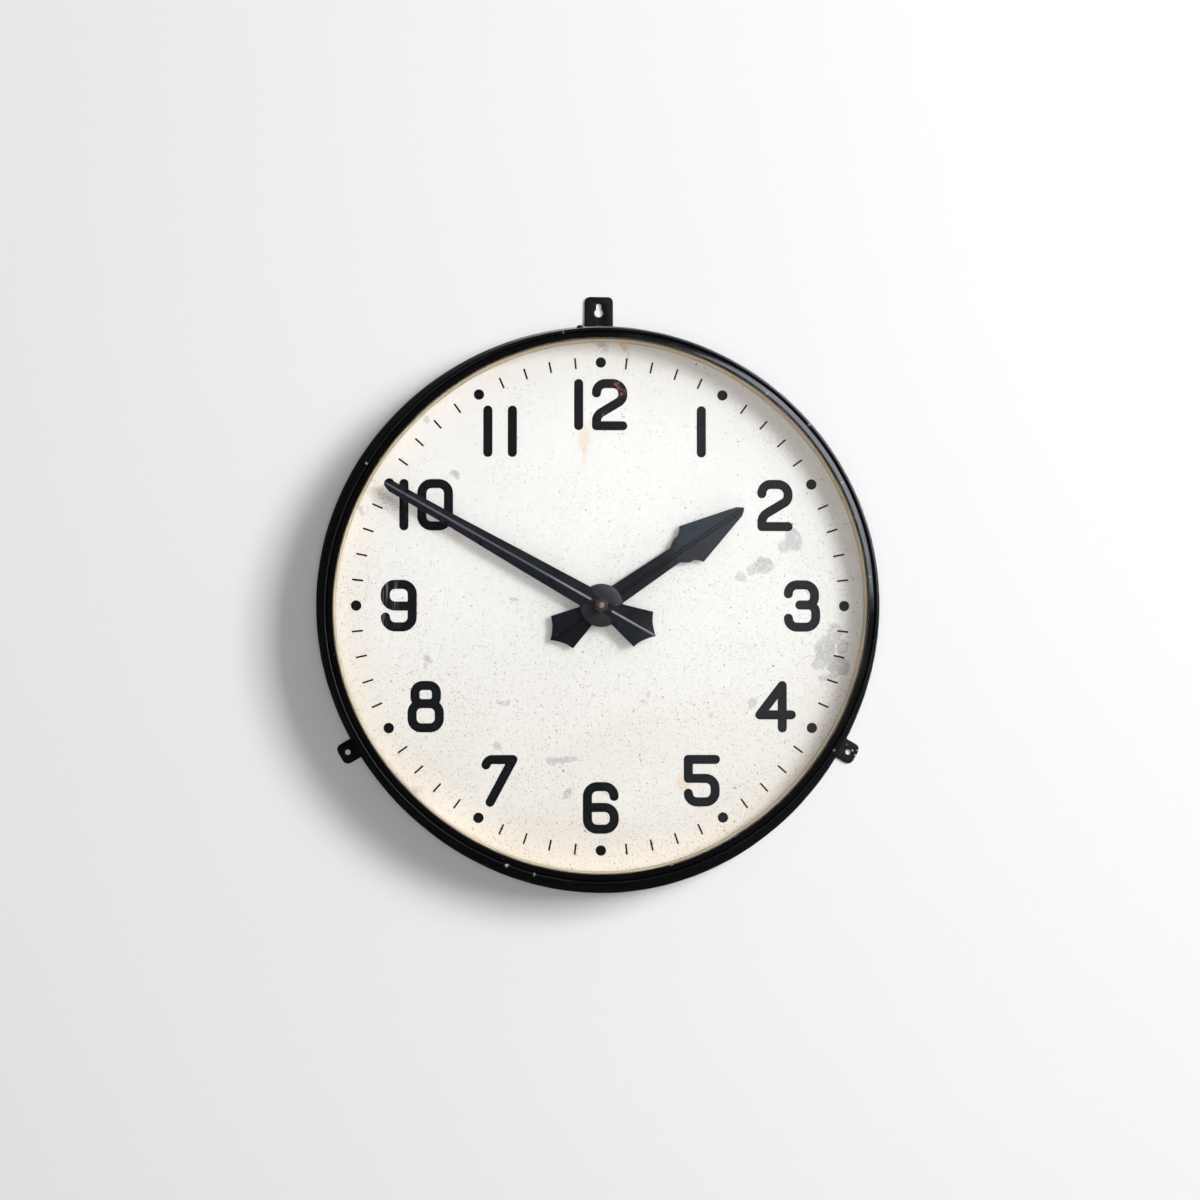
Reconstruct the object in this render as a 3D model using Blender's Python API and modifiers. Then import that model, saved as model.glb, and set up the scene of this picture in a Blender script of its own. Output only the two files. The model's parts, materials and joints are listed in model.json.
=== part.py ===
"""Round wall clock with an electric impulse movement, in a spun steel case hung by three lugs.

Lengths are in metres. +Z is up, the clock faces -Y, and the origin is on the hands' axis in the
plane of the case's back. Clock coordinates are (across, up, depth), where depth is the distance
forward of the case's back. Clock angles run clockwise from twelve, as seen from the front.
"""

import math

import bmesh
import bpy

MM = 0.001
GAP = 0.3 * MM  # clearance between pieces that touch

# Case, bezel and glass
CASE_BACK_RADIUS = 248.5 * MM
CASE_FRONT_RADIUS = 239.5 * MM
CASE_DEPTH = 76 * MM
CASE_CORNER = 13 * MM
SHEET = 1.2 * MM
RIM_WIDTH = 2.9 * MM
BEZEL_LIP_RADIUS = 230.3 * MM
BEZEL_DEPTH = 80 * MM
BEZEL_SKIRT_RADIUS = 236.2 * MM
BEZEL_SKIRT_BACK = 60 * MM
GLASS_RADIUS = 234 * MM
GLASS_BACK = 72.5 * MM
GLASS_THICKNESS = 3 * MM
BEZEL_SCREW_ANGLE = -4.4
BEZEL_SCREW_DEPTH = 66 * MM
BEZEL_SCREW_RADIUS = 1.5 * MM

# Dial and its spacer
DIAL_RADIUS = 233 * MM
DIAL_FRONT = 50 * MM
DIAL_THICKNESS = 1.2 * MM
DIAL_HOLE = 6.5 * MM
SPACER_RADIUS = 229.5 * MM

# Fixing lugs, flat straps riveted behind the case
LUG_THICKNESS = 3 * MM
LUG_INNER_END = 200 * MM
TOP_LUG_END = 277.6 * MM
TOP_LUG_WIDTH = 25.4 * MM
KEYHOLE_CENTRE = 263.3 * MM
KEYHOLE_RADIUS = 3.9 * MM
KEYHOLE_SLOT_HALF = 2.4 * MM
KEYHOLE_TOP = 272 * MM
SIDE_LUG_END = 264.5 * MM
SIDE_LUG_WIDTH = 19 * MM
SIDE_LUG_HOLE = 257 * MM
SIDE_LUG_HOLE_RADIUS = 2.5 * MM
SIDE_LUG_ANGLE = 120
RIVETS_AT = (211 * MM, 226 * MM)
RIVET_RADIUS = 2.4 * MM

# Cable entry in the case's back, and the terminal block above it
GROMMET_PLACE = (0, -170 * MM)
GROMMET_WAIST = 8 * MM
GROMMET_BORE = 5 * MM
TERMINAL_BLOCK = (44 * MM, 20 * MM, 13 * MM)
TERMINAL_UP = -132 * MM
TERMINAL_ACROSS = 11 * MM

# Hands and the hour read at rest
MINUTE_ANGLE = 299.5
HOUR_ANGLE = 55.7
MINUTE_HAND_BACK = 62.6 * MM
HOUR_HAND_BACK = 57 * MM
MINUTE_BOSS_RADIUS = 18.8 * MM

# Arbor and pipes round it
ARBOR_RADIUS = 2.5 * MM
CANNON_RADIUS = 3.8 * MM
HOUR_PIPE_RADIUS = 5.2 * MM

# Movement plates
BACK_PLATE = (3 * MM, 5 * MM)
FRONT_PLATE = (40 * MM, 42 * MM)
PLATE_LEFT = -56 * MM
PLATE_RIGHT = 68 * MM
PLATE_BOTTOM = -98 * MM
PLATE_TOP = 52 * MM
PILLAR_INSET = 7 * MM

# Motion work: cannon pinion 12 on minute wheel 36, its pinion 10 on hour wheel 40
MOTION_DISTANCE = 24 * MM
MOTION_ANGLE = 225
CANNON_TEETH = 12
MINUTE_WHEEL_TEETH = 36
MINUTE_PINION_TEETH = 10
HOUR_WHEEL_TEETH = 40

# Ratchet: 120 teeth, so each impulse moves the minute hand half a minute
RATCHET_TEETH = 120
RATCHET_RADIUS = 36 * MM
RATCHET_ROOT = 34.6 * MM
RATCHET_DEPTH = (33 * MM, 35 * MM)
PAWL_DEPTH = (32.6 * MM, 35.4 * MM)

# Armature, its pivot and the pawls' pivots, as (across, up)
ARMATURE_PIVOT = (48 * MM, -31 * MM)
DRIVE_PAWL_PIVOT = (48 * MM, 38 * MM)
BACKSTOP_PIVOT = (-40 * MM, -34 * MM)
PIN_RADIUS = 2 * MM
SPRING_ACROSS = 60 * MM

# Electromagnet: two coils side by side, with upright cores
COIL_ACROSS = 19 * MM
COIL_DEPTH = 18.5 * MM
COIL_RADIUS = 12 * MM
COIL_BOTTOM = -82 * MM
COIL_TOP = -41 * MM
CORE_RADIUS = 5 * MM
CORE_TOP = -38.5 * MM

RING_SEGMENTS = 66
ROUND_SEGMENTS = 24
FACING_FRONT = (math.pi / 2, 0, 0)  # turns an object's own +Z to the front

FINISHES = {
    "black_enamel": ((0.012, 0.012, 0.014), 0.32, 0.0),
    "dial_paint": ((0.78, 0.75, 0.69), 0.5, 0.0),
    "spacer_paint": ((0.68, 0.63, 0.53), 0.55, 0.0),
    "hand_enamel": ((0.015, 0.015, 0.018), 0.35, 0.0),
    "clear_glass": ((0.9, 0.95, 0.95), 0.02, 0.0),
    "black_rubber": ((0.02, 0.02, 0.02), 0.8, 0.0),
    "steel": ((0.45, 0.45, 0.46), 0.35, 1.0),
    "soft_iron": ((0.25, 0.25, 0.26), 0.5, 1.0),
    "brass": ((0.63, 0.45, 0.18), 0.35, 1.0),
    "old_brass": ((0.32, 0.24, 0.16), 0.55, 1.0),
    "coil_tape": ((0.03, 0.12, 0.07), 0.6, 0.0),
    "phenolic": ((0.09, 0.04, 0.025), 0.45, 0.0),
    "cloth_wire": ((0.4, 0.08, 0.05), 0.85, 0.0),
}


def clear_scene():
    for obj in list(bpy.data.objects):
        bpy.data.objects.remove(obj)


def new_collection(name, hidden=False):
    collection = bpy.data.collections.new(name)
    collection.hide_render = hidden
    bpy.context.scene.collection.children.link(collection)
    return collection


def material(piece, finish):
    colour, roughness, metallic = FINISHES[finish]
    made = bpy.data.materials.new(piece + "_" + finish)
    made.use_nodes = True
    shader = made.node_tree.nodes["Principled BSDF"]
    shader.inputs["Base Color"].default_value = (*colour, 1)
    shader.inputs["Roughness"].default_value = roughness
    shader.inputs["Metallic"].default_value = metallic
    if finish == "clear_glass":
        shader.inputs["Transmission Weight"].default_value = 1
    return made


def around(centre, radius, first, last, steps):
    """Points of an arc about centre, from clock angle first to last in degrees."""
    angles = [math.radians(first + (last - first) * i / steps) for i in range(steps + 1)]
    return [(centre[0] + radius * math.sin(a), centre[1] + radius * math.cos(a)) for a in angles]


def circle(centre, radius, steps=ROUND_SEGMENTS):
    return around(centre, radius, 0, 360, steps)[:-1]


def turn(points, angle):
    """Flat points turned clockwise about the origin by a clock angle."""
    sine = math.sin(math.radians(angle))
    cosine = math.cos(math.radians(angle))
    return [(x * cosine + y * sine, y * cosine - x * sine) for x, y in points]


class Clock:
    """Makes the clock's pieces in one collection, and their cutters in another."""

    def __init__(self):
        self.pieces = new_collection("wall_clock")
        self.cutters = new_collection("cutters", hidden=True)

    def place(self, name, mesh, finish, centre=(0, 0), depth=0, upright=False):
        """Links a mesh as a piece, with its own origin at (across, up, depth)."""
        obj = bpy.data.objects.new(name, mesh)
        obj.location = (centre[0], -depth, centre[1])
        if not upright:
            obj.rotation_euler = FACING_FRONT
        if finish:
            mesh.materials.append(material(name, finish))
            self.pieces.objects.link(obj)
        else:
            self.cutters.objects.link(obj)
            obj.hide_render = True
            obj.display_type = "WIRE"
        return obj

    def turned(self, name, finish, profile, centre=(0, 0), segments=24, depth=0, upright=False):
        """A turned piece. profile is (radius, height) down its outer side, and a ring's is a loop."""
        last = len(profile) - 1
        edges = [(i, i + 1) for i in range(last)]
        if profile[0][0] > 0:
            edges.append((last, 0))
        mesh = bpy.data.meshes.new(name)
        mesh.from_pydata([(radius, 0, height) for radius, height in profile], edges, [])
        obj = self.place(name, mesh, finish, centre, depth, upright)
        screw = obj.modifiers.new("Turn", "SCREW")
        screw.steps = segments
        screw.render_steps = segments
        screw.use_merge_vertices = True
        screw.merge_threshold = 0.00001
        return obj

    def rod(self, name, finish, centre, radius, back, front, segments=ROUND_SEGMENTS):
        profile = [(0, front), (radius, front), (radius, back), (0, back)]
        return self.turned(name, finish, profile, centre, segments)

    def tube(self, name, finish, centre, hole, radius, back, front, segments=ROUND_SEGMENTS):
        profile = [(hole, front), (radius, front), (radius, back), (hole, back)]
        return self.turned(name, finish, profile, centre, segments)

    def flat(self, name, finish, outlines, back, front, centre=(0, 0), chamfer=0):
        """A flat piece between two depths, from an outline and its holes about centre."""
        curve = bpy.data.curves.new(name, "CURVE")
        curve.dimensions = "2D"
        curve.fill_mode = "BOTH"
        curve.extrude = (front - back) / 2 - chamfer
        if chamfer:
            curve.bevel_depth = chamfer
            curve.bevel_resolution = 0
            curve.offset = -chamfer
        for outline in outlines:
            spline = curve.splines.new("POLY")
            spline.points.add(len(outline) - 1)
            for point, (x, y) in zip(spline.points, outline):
                point.co = (x, y, 0, 1)
            spline.use_cyclic_u = True
        guide = bpy.data.objects.new(name + "_outline", curve)
        self.cutters.objects.link(guide)
        bpy.context.view_layer.update()
        graph = bpy.context.evaluated_depsgraph_get()
        mesh = bpy.data.meshes.new_from_object(guide.evaluated_get(graph))
        bpy.data.objects.remove(guide)
        mesh.name = name
        mesh.materials.clear()
        work = bmesh.new()
        work.from_mesh(mesh)
        bmesh.ops.remove_doubles(work, verts=work.verts, dist=0.000002)
        bmesh.ops.recalc_face_normals(work, faces=work.faces)
        work.to_mesh(mesh)
        work.free()
        return self.place(name, mesh, finish, centre, (back + front) / 2)

    def block(self, name, finish, low, high):
        """A box from low to high, each (across, up, depth)."""
        mesh = bpy.data.meshes.new(name)
        work = bmesh.new()
        bmesh.ops.create_cube(work, size=1)
        size = [high[i] - low[i] for i in range(3)]
        bmesh.ops.scale(work, vec=size, verts=work.verts)
        work.to_mesh(mesh)
        work.free()
        middle = [(high[i] + low[i]) / 2 for i in range(3)]
        return self.place(name, mesh, finish, (middle[0], middle[1]), middle[2])

    def boolean(self, obj, other, operation):
        change = obj.modifiers.new(operation.title(), "BOOLEAN")
        change.operation = operation
        change.solver = "EXACT"
        change.object = other
        return obj

    def drill(self, obj, centre, radius, back, front, segments=16):
        """A round hole through obj along the depth, from back to front."""
        name = "hole_" + obj.name + "_" + str(len(obj.modifiers))
        cutter = self.rod(name, None, centre, radius, back, front, segments)
        return self.boolean(obj, cutter, "DIFFERENCE")


# Case, lugs and front ---------------------------------------------------------------------------


def case_side_radius(depth):
    """Outer radius of the case's side, which swells slightly towards the wall."""
    share = (depth - CASE_CORNER) / (CASE_DEPTH - CASE_CORNER)
    return CASE_BACK_RADIUS - (CASE_BACK_RADIUS - CASE_FRONT_RADIUS) * max(share, 0) ** 1.4


def case_profile():
    """(radius, depth) from the floor's centre, out, round the front rim and back to the centre."""
    rim_middle = CASE_FRONT_RADIUS - RIM_WIDTH / 2
    inner_corner = CASE_CORNER - SHEET
    corner_centre = CASE_BACK_RADIUS - CASE_CORNER
    depths = [CASE_CORNER + (CASE_DEPTH - 4 * MM - CASE_CORNER) * i / 3 for i in range(4)]
    points = [(0, SHEET)]
    for i in range(4):
        angle = math.radians(30 * i)
        across = corner_centre + inner_corner * math.sin(angle)
        points.append((across, CASE_CORNER - inner_corner * math.cos(angle)))
    for depth in depths[1:]:
        points.append((case_side_radius(depth) - SHEET, depth))
    for i in range(7):
        angle = math.radians(180 - 30 * i)
        across = rim_middle + RIM_WIDTH / 2 * math.cos(angle)
        points.append((across, CASE_DEPTH - RIM_WIDTH / 2 + RIM_WIDTH / 2 * math.sin(angle)))
    for depth in reversed(depths):
        points.append((case_side_radius(depth), depth))
    for i in range(1, 4):
        angle = math.radians(90 - 30 * i)
        across = corner_centre + CASE_CORNER * math.sin(angle)
        points.append((across, CASE_CORNER - CASE_CORNER * math.cos(angle)))
    points.append((0, 0))
    return points


def polar(angle, radius):
    return around((0, 0), radius, angle, angle, 1)[0]


def lug_angles():
    return {"top": 0, "right": SIDE_LUG_ANGLE, "left": -SIDE_LUG_ANGLE}


def strap_outline(width, start, end, corner):
    """A strap up the middle, square at its start and with rounded corners at its end."""
    half = width / 2
    right = around((half - corner, end - corner), corner, 90, 0, 3)
    left = [(-x, y) for x, y in reversed(right)]
    return [(-half, start), (half, start)] + right + left


def keyhole_outline():
    """A round entry hole that opens upwards into a narrower slot with a round end."""
    meet = math.degrees(math.asin(KEYHOLE_SLOT_HALF / KEYHOLE_RADIUS))
    entry = around((0, KEYHOLE_CENTRE), KEYHOLE_RADIUS, meet, 360 - meet, 14)
    slot_middle = (0, KEYHOLE_TOP - KEYHOLE_SLOT_HALF)
    return entry + around(slot_middle, KEYHOLE_SLOT_HALF, -90, 90, 6)


def make_lugs(clock):
    rivet_hole = RIVET_RADIUS + GAP
    back = -GAP - LUG_THICKNESS
    for side, angle in lug_angles().items():
        holes = [circle((0, radius), rivet_hole, 12) for radius in RIVETS_AT]
        if side == "top":
            name = "top_hanging_lug"
            strap = strap_outline(TOP_LUG_WIDTH, LUG_INNER_END, TOP_LUG_END, 4.5 * MM)
            holes.append(keyhole_outline())
        else:
            name = side + "_fixing_lug"
            strap = strap_outline(SIDE_LUG_WIDTH, LUG_INNER_END, SIDE_LUG_END, 5 * MM)
            holes.append(circle((0, SIDE_LUG_HOLE), SIDE_LUG_HOLE_RADIUS, 16))
        outlines = [turn(points, angle) for points in [strap] + holes]
        clock.flat(name, "black_enamel", outlines, back, -GAP, chamfer=0.4 * MM)
        for i, radius in enumerate(RIVETS_AT):
            make_rivet(clock, f"{side}_lug_rivet_{i + 1}", polar(angle, radius))


def make_rivet(clock, name, centre):
    """A rivet with a domed head inside the case, and its tail closed flush in the strap."""
    floor = SHEET + GAP
    tail = -GAP - LUG_THICKNESS + 0.2 * MM
    head = 4.2 * MM
    profile = [
        (0, floor + 2.2 * MM),
        (head * 0.62, floor + 1.7 * MM),
        (head, floor + 0.4 * MM),
        (head, floor),
        (RIVET_RADIUS, floor),
        (RIVET_RADIUS, tail),
        (0, tail),
    ]
    clock.turned(name, "steel", profile, centre, 12)


def make_case(clock):
    case = clock.turned("case_pan", "black_enamel", case_profile(), segments=RING_SEGMENTS)
    reach = (-5 * MM, 5 * MM)
    for angle in lug_angles().values():
        for radius in RIVETS_AT:
            clock.drill(case, polar(angle, radius), RIVET_RADIUS + GAP, *reach, segments=12)
    for centre in dial_foot_places():
        clock.drill(case, centre, 2 * MM + GAP, *reach, segments=12)
    clock.drill(case, GROMMET_PLACE, GROMMET_WAIST + GAP, *reach)
    for sign in (1, -1):
        radial_hole(clock, case, sign, BEZEL_SCREW_RADIUS + GAP)


def radial_pose(obj, sign):
    """Turns a piece made about its own Z so that it points out from the axis at a bezel screw."""
    angle = math.radians(BEZEL_SCREW_ANGLE) + (0 if sign > 0 else math.pi)
    obj.rotation_euler = (0, angle, 0)
    obj.location = (0, -BEZEL_SCREW_DEPTH, 0)


def radial_hole(clock, obj, sign, radius):
    name = "side_hole_" + obj.name + ("_top" if sign > 0 else "_bottom")
    profile = [(0, 250 * MM), (radius, 250 * MM), (radius, 228 * MM), (0, 228 * MM)]
    cutter = clock.turned(name, None, profile, segments=12, upright=True)
    radial_pose(cutter, sign)
    clock.boolean(obj, cutter, "DIFFERENCE")


def make_bezel(clock):
    """A convex ring with a skirt that slides inside the case's rim, and a lip before the glass."""
    outer = BEZEL_SKIRT_RADIUS
    inner = outer - SHEET
    lip_back = GLASS_BACK + GLASS_THICKNESS + GAP
    profile = [
        (BEZEL_LIP_RADIUS, 77.4 * MM),
        (231 * MM, 78.8 * MM),
        (232.5 * MM, 79.8 * MM),
        (233.6 * MM, BEZEL_DEPTH),
        (234.8 * MM, 79.7 * MM),
        (235.8 * MM, 78.6 * MM),
        (outer, 77 * MM),
        (outer, BEZEL_SKIRT_BACK),
        (inner, BEZEL_SKIRT_BACK),
        (inner, lip_back),
        (BEZEL_LIP_RADIUS, lip_back),
    ]
    bezel = clock.turned("bezel_ring", "black_enamel", profile, segments=RING_SEGMENTS)
    for sign, side in ((1, "top"), (-1, "bottom")):
        radial_hole(clock, bezel, sign, BEZEL_SCREW_RADIUS + GAP)
        make_bezel_screw(clock, "bezel_screw_" + side, sign)


def make_bezel_screw(clock, name, sign):
    seat = case_side_radius(BEZEL_SCREW_DEPTH) + 0.9 * MM
    head = 3.1 * MM
    shank_end = BEZEL_SKIRT_RADIUS - 2.2 * MM
    profile = [
        (0, seat + 2.2 * MM),
        (head - 0.5 * MM, seat + 2.2 * MM),
        (head, seat + 1.6 * MM),
        (head, seat),
        (BEZEL_SCREW_RADIUS, seat),
        (BEZEL_SCREW_RADIUS, shank_end),
        (0, shank_end),
    ]
    screw = clock.turned(name, "steel", profile, segments=12, upright=True)
    radial_pose(screw, sign)


def make_front(clock):
    """Glass, the seal ring behind it, and the painted ring that stands off the dial."""
    pane = (GLASS_RADIUS, GLASS_BACK, GLASS_BACK + GLASS_THICKNESS, RING_SEGMENTS)
    clock.rod("glass_pane", "clear_glass", (0, 0), *pane)
    seal_back = GLASS_BACK - 2.5 * MM
    seal = (230 * MM, 234.4 * MM, seal_back, GLASS_BACK - GAP)
    clock.tube("glass_seal", "black_rubber", (0, 0), *seal, RING_SEGMENTS)
    foot = DIAL_FRONT + GAP
    top = seal_back - GAP
    outer = SPACER_RADIUS + SHEET
    flange = 233 * MM
    profile = [
        (SPACER_RADIUS, top),
        (flange, top),
        (flange, top - SHEET),
        (outer, top - SHEET),
        (outer, foot),
        (SPACER_RADIUS, foot),
    ]
    clock.turned("dial_spacer_ring", "spacer_paint", profile, segments=RING_SEGMENTS)


def dial_foot_places():
    return [polar(angle, 150 * MM) for angle in (60, 180, 300)]


def make_dial(clock):
    back = DIAL_FRONT - DIAL_THICKNESS
    plate = (DIAL_HOLE, DIAL_RADIUS, back, DIAL_FRONT, RING_SEGMENTS)
    clock.tube("dial_plate", "dial_paint", (0, 0), *plate)
    profile = [
        (0, back - GAP),
        (8 * MM, back - GAP),
        (8 * MM, back - GAP - 1.5 * MM),
        (4 * MM, back - GAP - 2 * MM),
        (4 * MM, SHEET + GAP),
        (2 * MM, SHEET + GAP),
        (2 * MM, 0.4 * MM),
        (0, 0.4 * MM),
    ]
    for i, centre in enumerate(dial_foot_places()):
        clock.turned(f"dial_foot_{i + 1}", "steel", profile, centre, 16)


# Cable entry and terminals ------------------------------------------------------------------------

def make_cable_entry(clock):
    """A rubber grommet in the case's back: a bored body with a groove round the sheet's edge."""
    lip = GROMMET_WAIST + 2.5 * MM
    inside = SHEET + GAP
    profile = [
        (GROMMET_BORE, inside + 3 * MM),
        (lip - 1 * MM, inside + 3 * MM),
        (lip, inside + 1.5 * MM),
        (lip, inside),
        (GROMMET_WAIST, inside),
        (GROMMET_WAIST, -GAP),
        (lip - 0.5 * MM, -GAP),
        (lip - 0.5 * MM, -2.3 * MM),
        (GROMMET_BORE, -2.3 * MM),
    ]
    clock.turned("cable_grommet", "black_rubber", profile, GROMMET_PLACE, 20)
    width, height, thickness = TERMINAL_BLOCK
    block_front = inside + thickness
    low = (-width / 2, TERMINAL_UP - height / 2, inside)
    high = (width / 2, TERMINAL_UP + height / 2, block_front)
    block = clock.block("terminal_block", "phenolic", low, high)
    for side, across in (("left", -TERMINAL_ACROSS), ("right", TERMINAL_ACROSS)):
        centre = (across, TERMINAL_UP)
        clock.drill(block, centre, 2 * MM + GAP, inside + 4 * MM, block_front + 2 * MM)
        make_terminal_screw(clock, f"terminal_screw_{side}", centre, inside + 5 * MM, block_front + GAP)
        make_coil_lead(clock, f"coil_lead_{side}", across, block_front)


def make_terminal_screw(clock, name, centre, tip, seat):
    head = 4.5 * MM
    profile = [
        (0, seat + 2.4 * MM),
        (head - 0.6 * MM, seat + 2.4 * MM),
        (head, seat + 1.8 * MM),
        (head, seat),
        (2 * MM, seat),
        (2 * MM, tip),
        (0, tip),
    ]
    clock.turned(name, "brass", profile, centre, 16)


def make_coil_lead(clock, name, across, block_front):
    """A wire from the block's upper edge, forward of the yoke, to the front of a coil."""
    side = 1 if across > 0 else -1
    route = [
        (across, -121.4 * MM, block_front - 4 * MM),
        (across, -116 * MM, block_front - 3 * MM),
        (across + side * 2 * MM, -106 * MM, 20 * MM),
        (across + side * 5 * MM, -97 * MM, 29 * MM),
        (across + side * 7 * MM, -89 * MM, 32.6 * MM),
        (across + side * 8 * MM, -80 * MM, 33 * MM),
        (across + side * 8 * MM, -72 * MM, 32 * MM),
    ]
    curve = bpy.data.curves.new(name, "CURVE")
    curve.dimensions = "3D"
    curve.bevel_depth = 0.9 * MM
    curve.bevel_resolution = 1
    curve.use_fill_caps = True
    spline = curve.splines.new("POLY")
    spline.points.add(len(route) - 1)
    for point, (x, up, depth) in zip(spline.points, route):
        point.co = (x, -depth, up, 1)
    obj = bpy.data.objects.new(name, curve)
    curve.materials.append(material(name, "cloth_wire"))
    clock.pieces.objects.link(obj)


# Movement frame and electromagnet -----------------------------------------------------------------


def pillar_places():
    left = PLATE_LEFT + PILLAR_INSET
    right = PLATE_RIGHT - PILLAR_INSET
    low = PLATE_BOTTOM + PILLAR_INSET
    high = PLATE_TOP - PILLAR_INSET
    return [(left, high), (right, high), (left, low), (right, low)]


def plate_outline():
    corner = 6 * MM
    points = []
    for x, y, first in (
        (PLATE_RIGHT - corner, PLATE_TOP - corner, 0),
        (PLATE_RIGHT - corner, PLATE_BOTTOM + corner, 90),
        (PLATE_LEFT + corner, PLATE_BOTTOM + corner, 180),
        (PLATE_LEFT + corner, PLATE_TOP - corner, 270),
    ):
        points += around((x, y), corner, first, first + 90, 3)
    return points


def make_movement_frame(clock):
    spigot = 2 * MM
    holes = [circle(centre, spigot + GAP, 12) for centre in pillar_places()]
    arbor_hole = circle((0, 0), ARBOR_RADIUS + GAP, 16)
    outlines = [plate_outline(), arbor_hole] + holes
    clock.flat("movement_back_plate", "steel", outlines, *BACK_PLATE)
    clock.flat("movement_front_plate", "brass", outlines, *FRONT_PLATE)
    shoulder_back = BACK_PLATE[1] + GAP
    shoulder_front = FRONT_PLATE[0] - GAP
    dial_back = DIAL_FRONT - DIAL_THICKNESS
    profile = [
        (0, dial_back - GAP),
        (spigot, dial_back - GAP),
        (spigot, shoulder_front),
        (4 * MM, shoulder_front),
        (4 * MM, shoulder_back),
        (spigot, shoulder_back),
        (spigot, SHEET + GAP),
        (0, SHEET + GAP),
    ]
    for i, centre in enumerate(pillar_places()):
        clock.turned(f"movement_pillar_{i + 1}", "steel", profile, centre, 12)


def make_electromagnet(clock):
    """Two wound coils on iron cores, joined by a yoke under them."""
    flange = COIL_RADIUS + 1.5 * MM
    cheek = 3 * MM
    bore = CORE_RADIUS + GAP
    coil = [
        (bore, COIL_TOP),
        (flange, COIL_TOP),
        (flange, COIL_TOP - cheek),
        (COIL_RADIUS, COIL_TOP - cheek),
        (COIL_RADIUS, COIL_BOTTOM + cheek),
        (flange, COIL_BOTTOM + cheek),
        (flange, COIL_BOTTOM),
        (bore, COIL_BOTTOM),
    ]
    yoke_top = COIL_BOTTOM - 2 * MM
    core = [(0, CORE_TOP), (CORE_RADIUS, CORE_TOP), (CORE_RADIUS, yoke_top + GAP), (0, yoke_top + GAP)]
    for side, across in (("left", -COIL_ACROSS), ("right", COIL_ACROSS)):
        place = {"centre": (across, 0), "depth": COIL_DEPTH, "upright": True, "segments": 20}
        clock.turned(f"{side}_coil", "coil_tape", coil, **place)
        clock.turned(f"{side}_coil_core", "soft_iron", core, **place)
    low = (-30 * MM, yoke_top - 8 * MM, COIL_DEPTH - 9 * MM)
    high = (30 * MM, yoke_top, COIL_DEPTH + 9 * MM)
    clock.block("magnet_yoke", "soft_iron", low, high)


# Armature and pawls -------------------------------------------------------------------------------


def make_armature(clock):
    """A bar over the cores, a hub on the pivot pin, and an arm up to the drive pawl."""
    across, up = ARMATURE_PIVOT
    bar_low = (-32 * MM, up - 3.5 * MM, 11 * MM)
    bar_high = (SPRING_ACROSS + 3 * MM, up + 3.5 * MM, 26 * MM)
    arm_low = (DRIVE_PAWL_PIVOT[0] - 3.5 * MM, up, 20 * MM)
    arm_high = (DRIVE_PAWL_PIVOT[0] + 3.5 * MM, DRIVE_PAWL_PIVOT[1] + 4.5 * MM, 29 * MM)
    armature = clock.rod("armature", "soft_iron", ARMATURE_PIVOT, 7 * MM, 10.5 * MM, 29.5 * MM)
    clock.boolean(armature, clock.block("armature_bar", None, bar_low, bar_high), "UNION")
    clock.boolean(armature, clock.block("armature_arm", None, arm_low, arm_high), "UNION")
    clock.drill(armature, ARMATURE_PIVOT, 2.5 * MM + GAP, 5 * MM, 35 * MM)
    clock.drill(armature, DRIVE_PAWL_PIVOT, PIN_RADIUS + GAP, 15 * MM, 35 * MM)
    ends = (BACK_PLATE[1] + GAP, FRONT_PLATE[0] - GAP)
    clock.rod("armature_pivot_pin", "steel", ARMATURE_PIVOT, 2.5 * MM, *ends, 16)
    clock.rod("drive_pawl_pin", "steel", DRIVE_PAWL_PIVOT, PIN_RADIUS, 20.5 * MM, 37 * MM, 16)


def make_return_spring(clock):
    """An upright coil spring from the armature's tail down to the post that anchors it."""
    top = ARMATURE_PIVOT[1] - 3.5 * MM - GAP - 0.5 * MM
    bottom = -70 * MM
    turns = 5
    steps = turns * 8
    curve = bpy.data.curves.new("return_spring", "CURVE")
    curve.dimensions = "3D"
    curve.bevel_depth = 0.45 * MM
    curve.bevel_resolution = 1
    curve.use_fill_caps = True
    spline = curve.splines.new("POLY")
    spline.points.add(steps)
    for i, point in enumerate(spline.points):
        angle = 2 * math.pi * turns * i / steps
        height = bottom + (top - bottom) * i / steps
        depth = COIL_DEPTH + 3 * MM * math.sin(angle)
        point.co = (SPRING_ACROSS + 3 * MM * math.cos(angle), -depth, height, 1)
    obj = bpy.data.objects.new("return_spring", curve)
    curve.materials.append(material("return_spring", "steel"))
    clock.pieces.objects.link(obj)
    low = (SPRING_ACROSS - 5 * MM, bottom - 5 * MM, BACK_PLATE[1] + GAP)
    high = (SPRING_ACROSS + 5 * MM, bottom - 1 * MM, COIL_DEPTH + 5 * MM)
    clock.block("spring_post", "steel", low, high)


def ratchet_outline():
    """Saw teeth. Each has a steep face towards the anticlockwise side, then a slope down clockwise."""
    pitch = 360 / RATCHET_TEETH
    points = []
    for tooth in range(RATCHET_TEETH):
        points.append(polar(pitch * tooth, RATCHET_ROOT))
        points.append(polar(pitch * tooth + 0.12, RATCHET_RADIUS))
    return points


def pawl_outline(pivot, tip, nose, hub_radius=5 * MM):
    """A pawl's outline about its pivot: a round hub and a tapering arm that ends in the nose points."""
    reach = (tip[0] - pivot[0], tip[1] - pivot[1])
    heading = math.degrees(math.atan2(reach[0], reach[1]))
    hub = around((0, 0), hub_radius, heading + 40, heading + 320, 12)
    return hub + [(x - pivot[0], y - pivot[1]) for x, y in nose]


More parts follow.
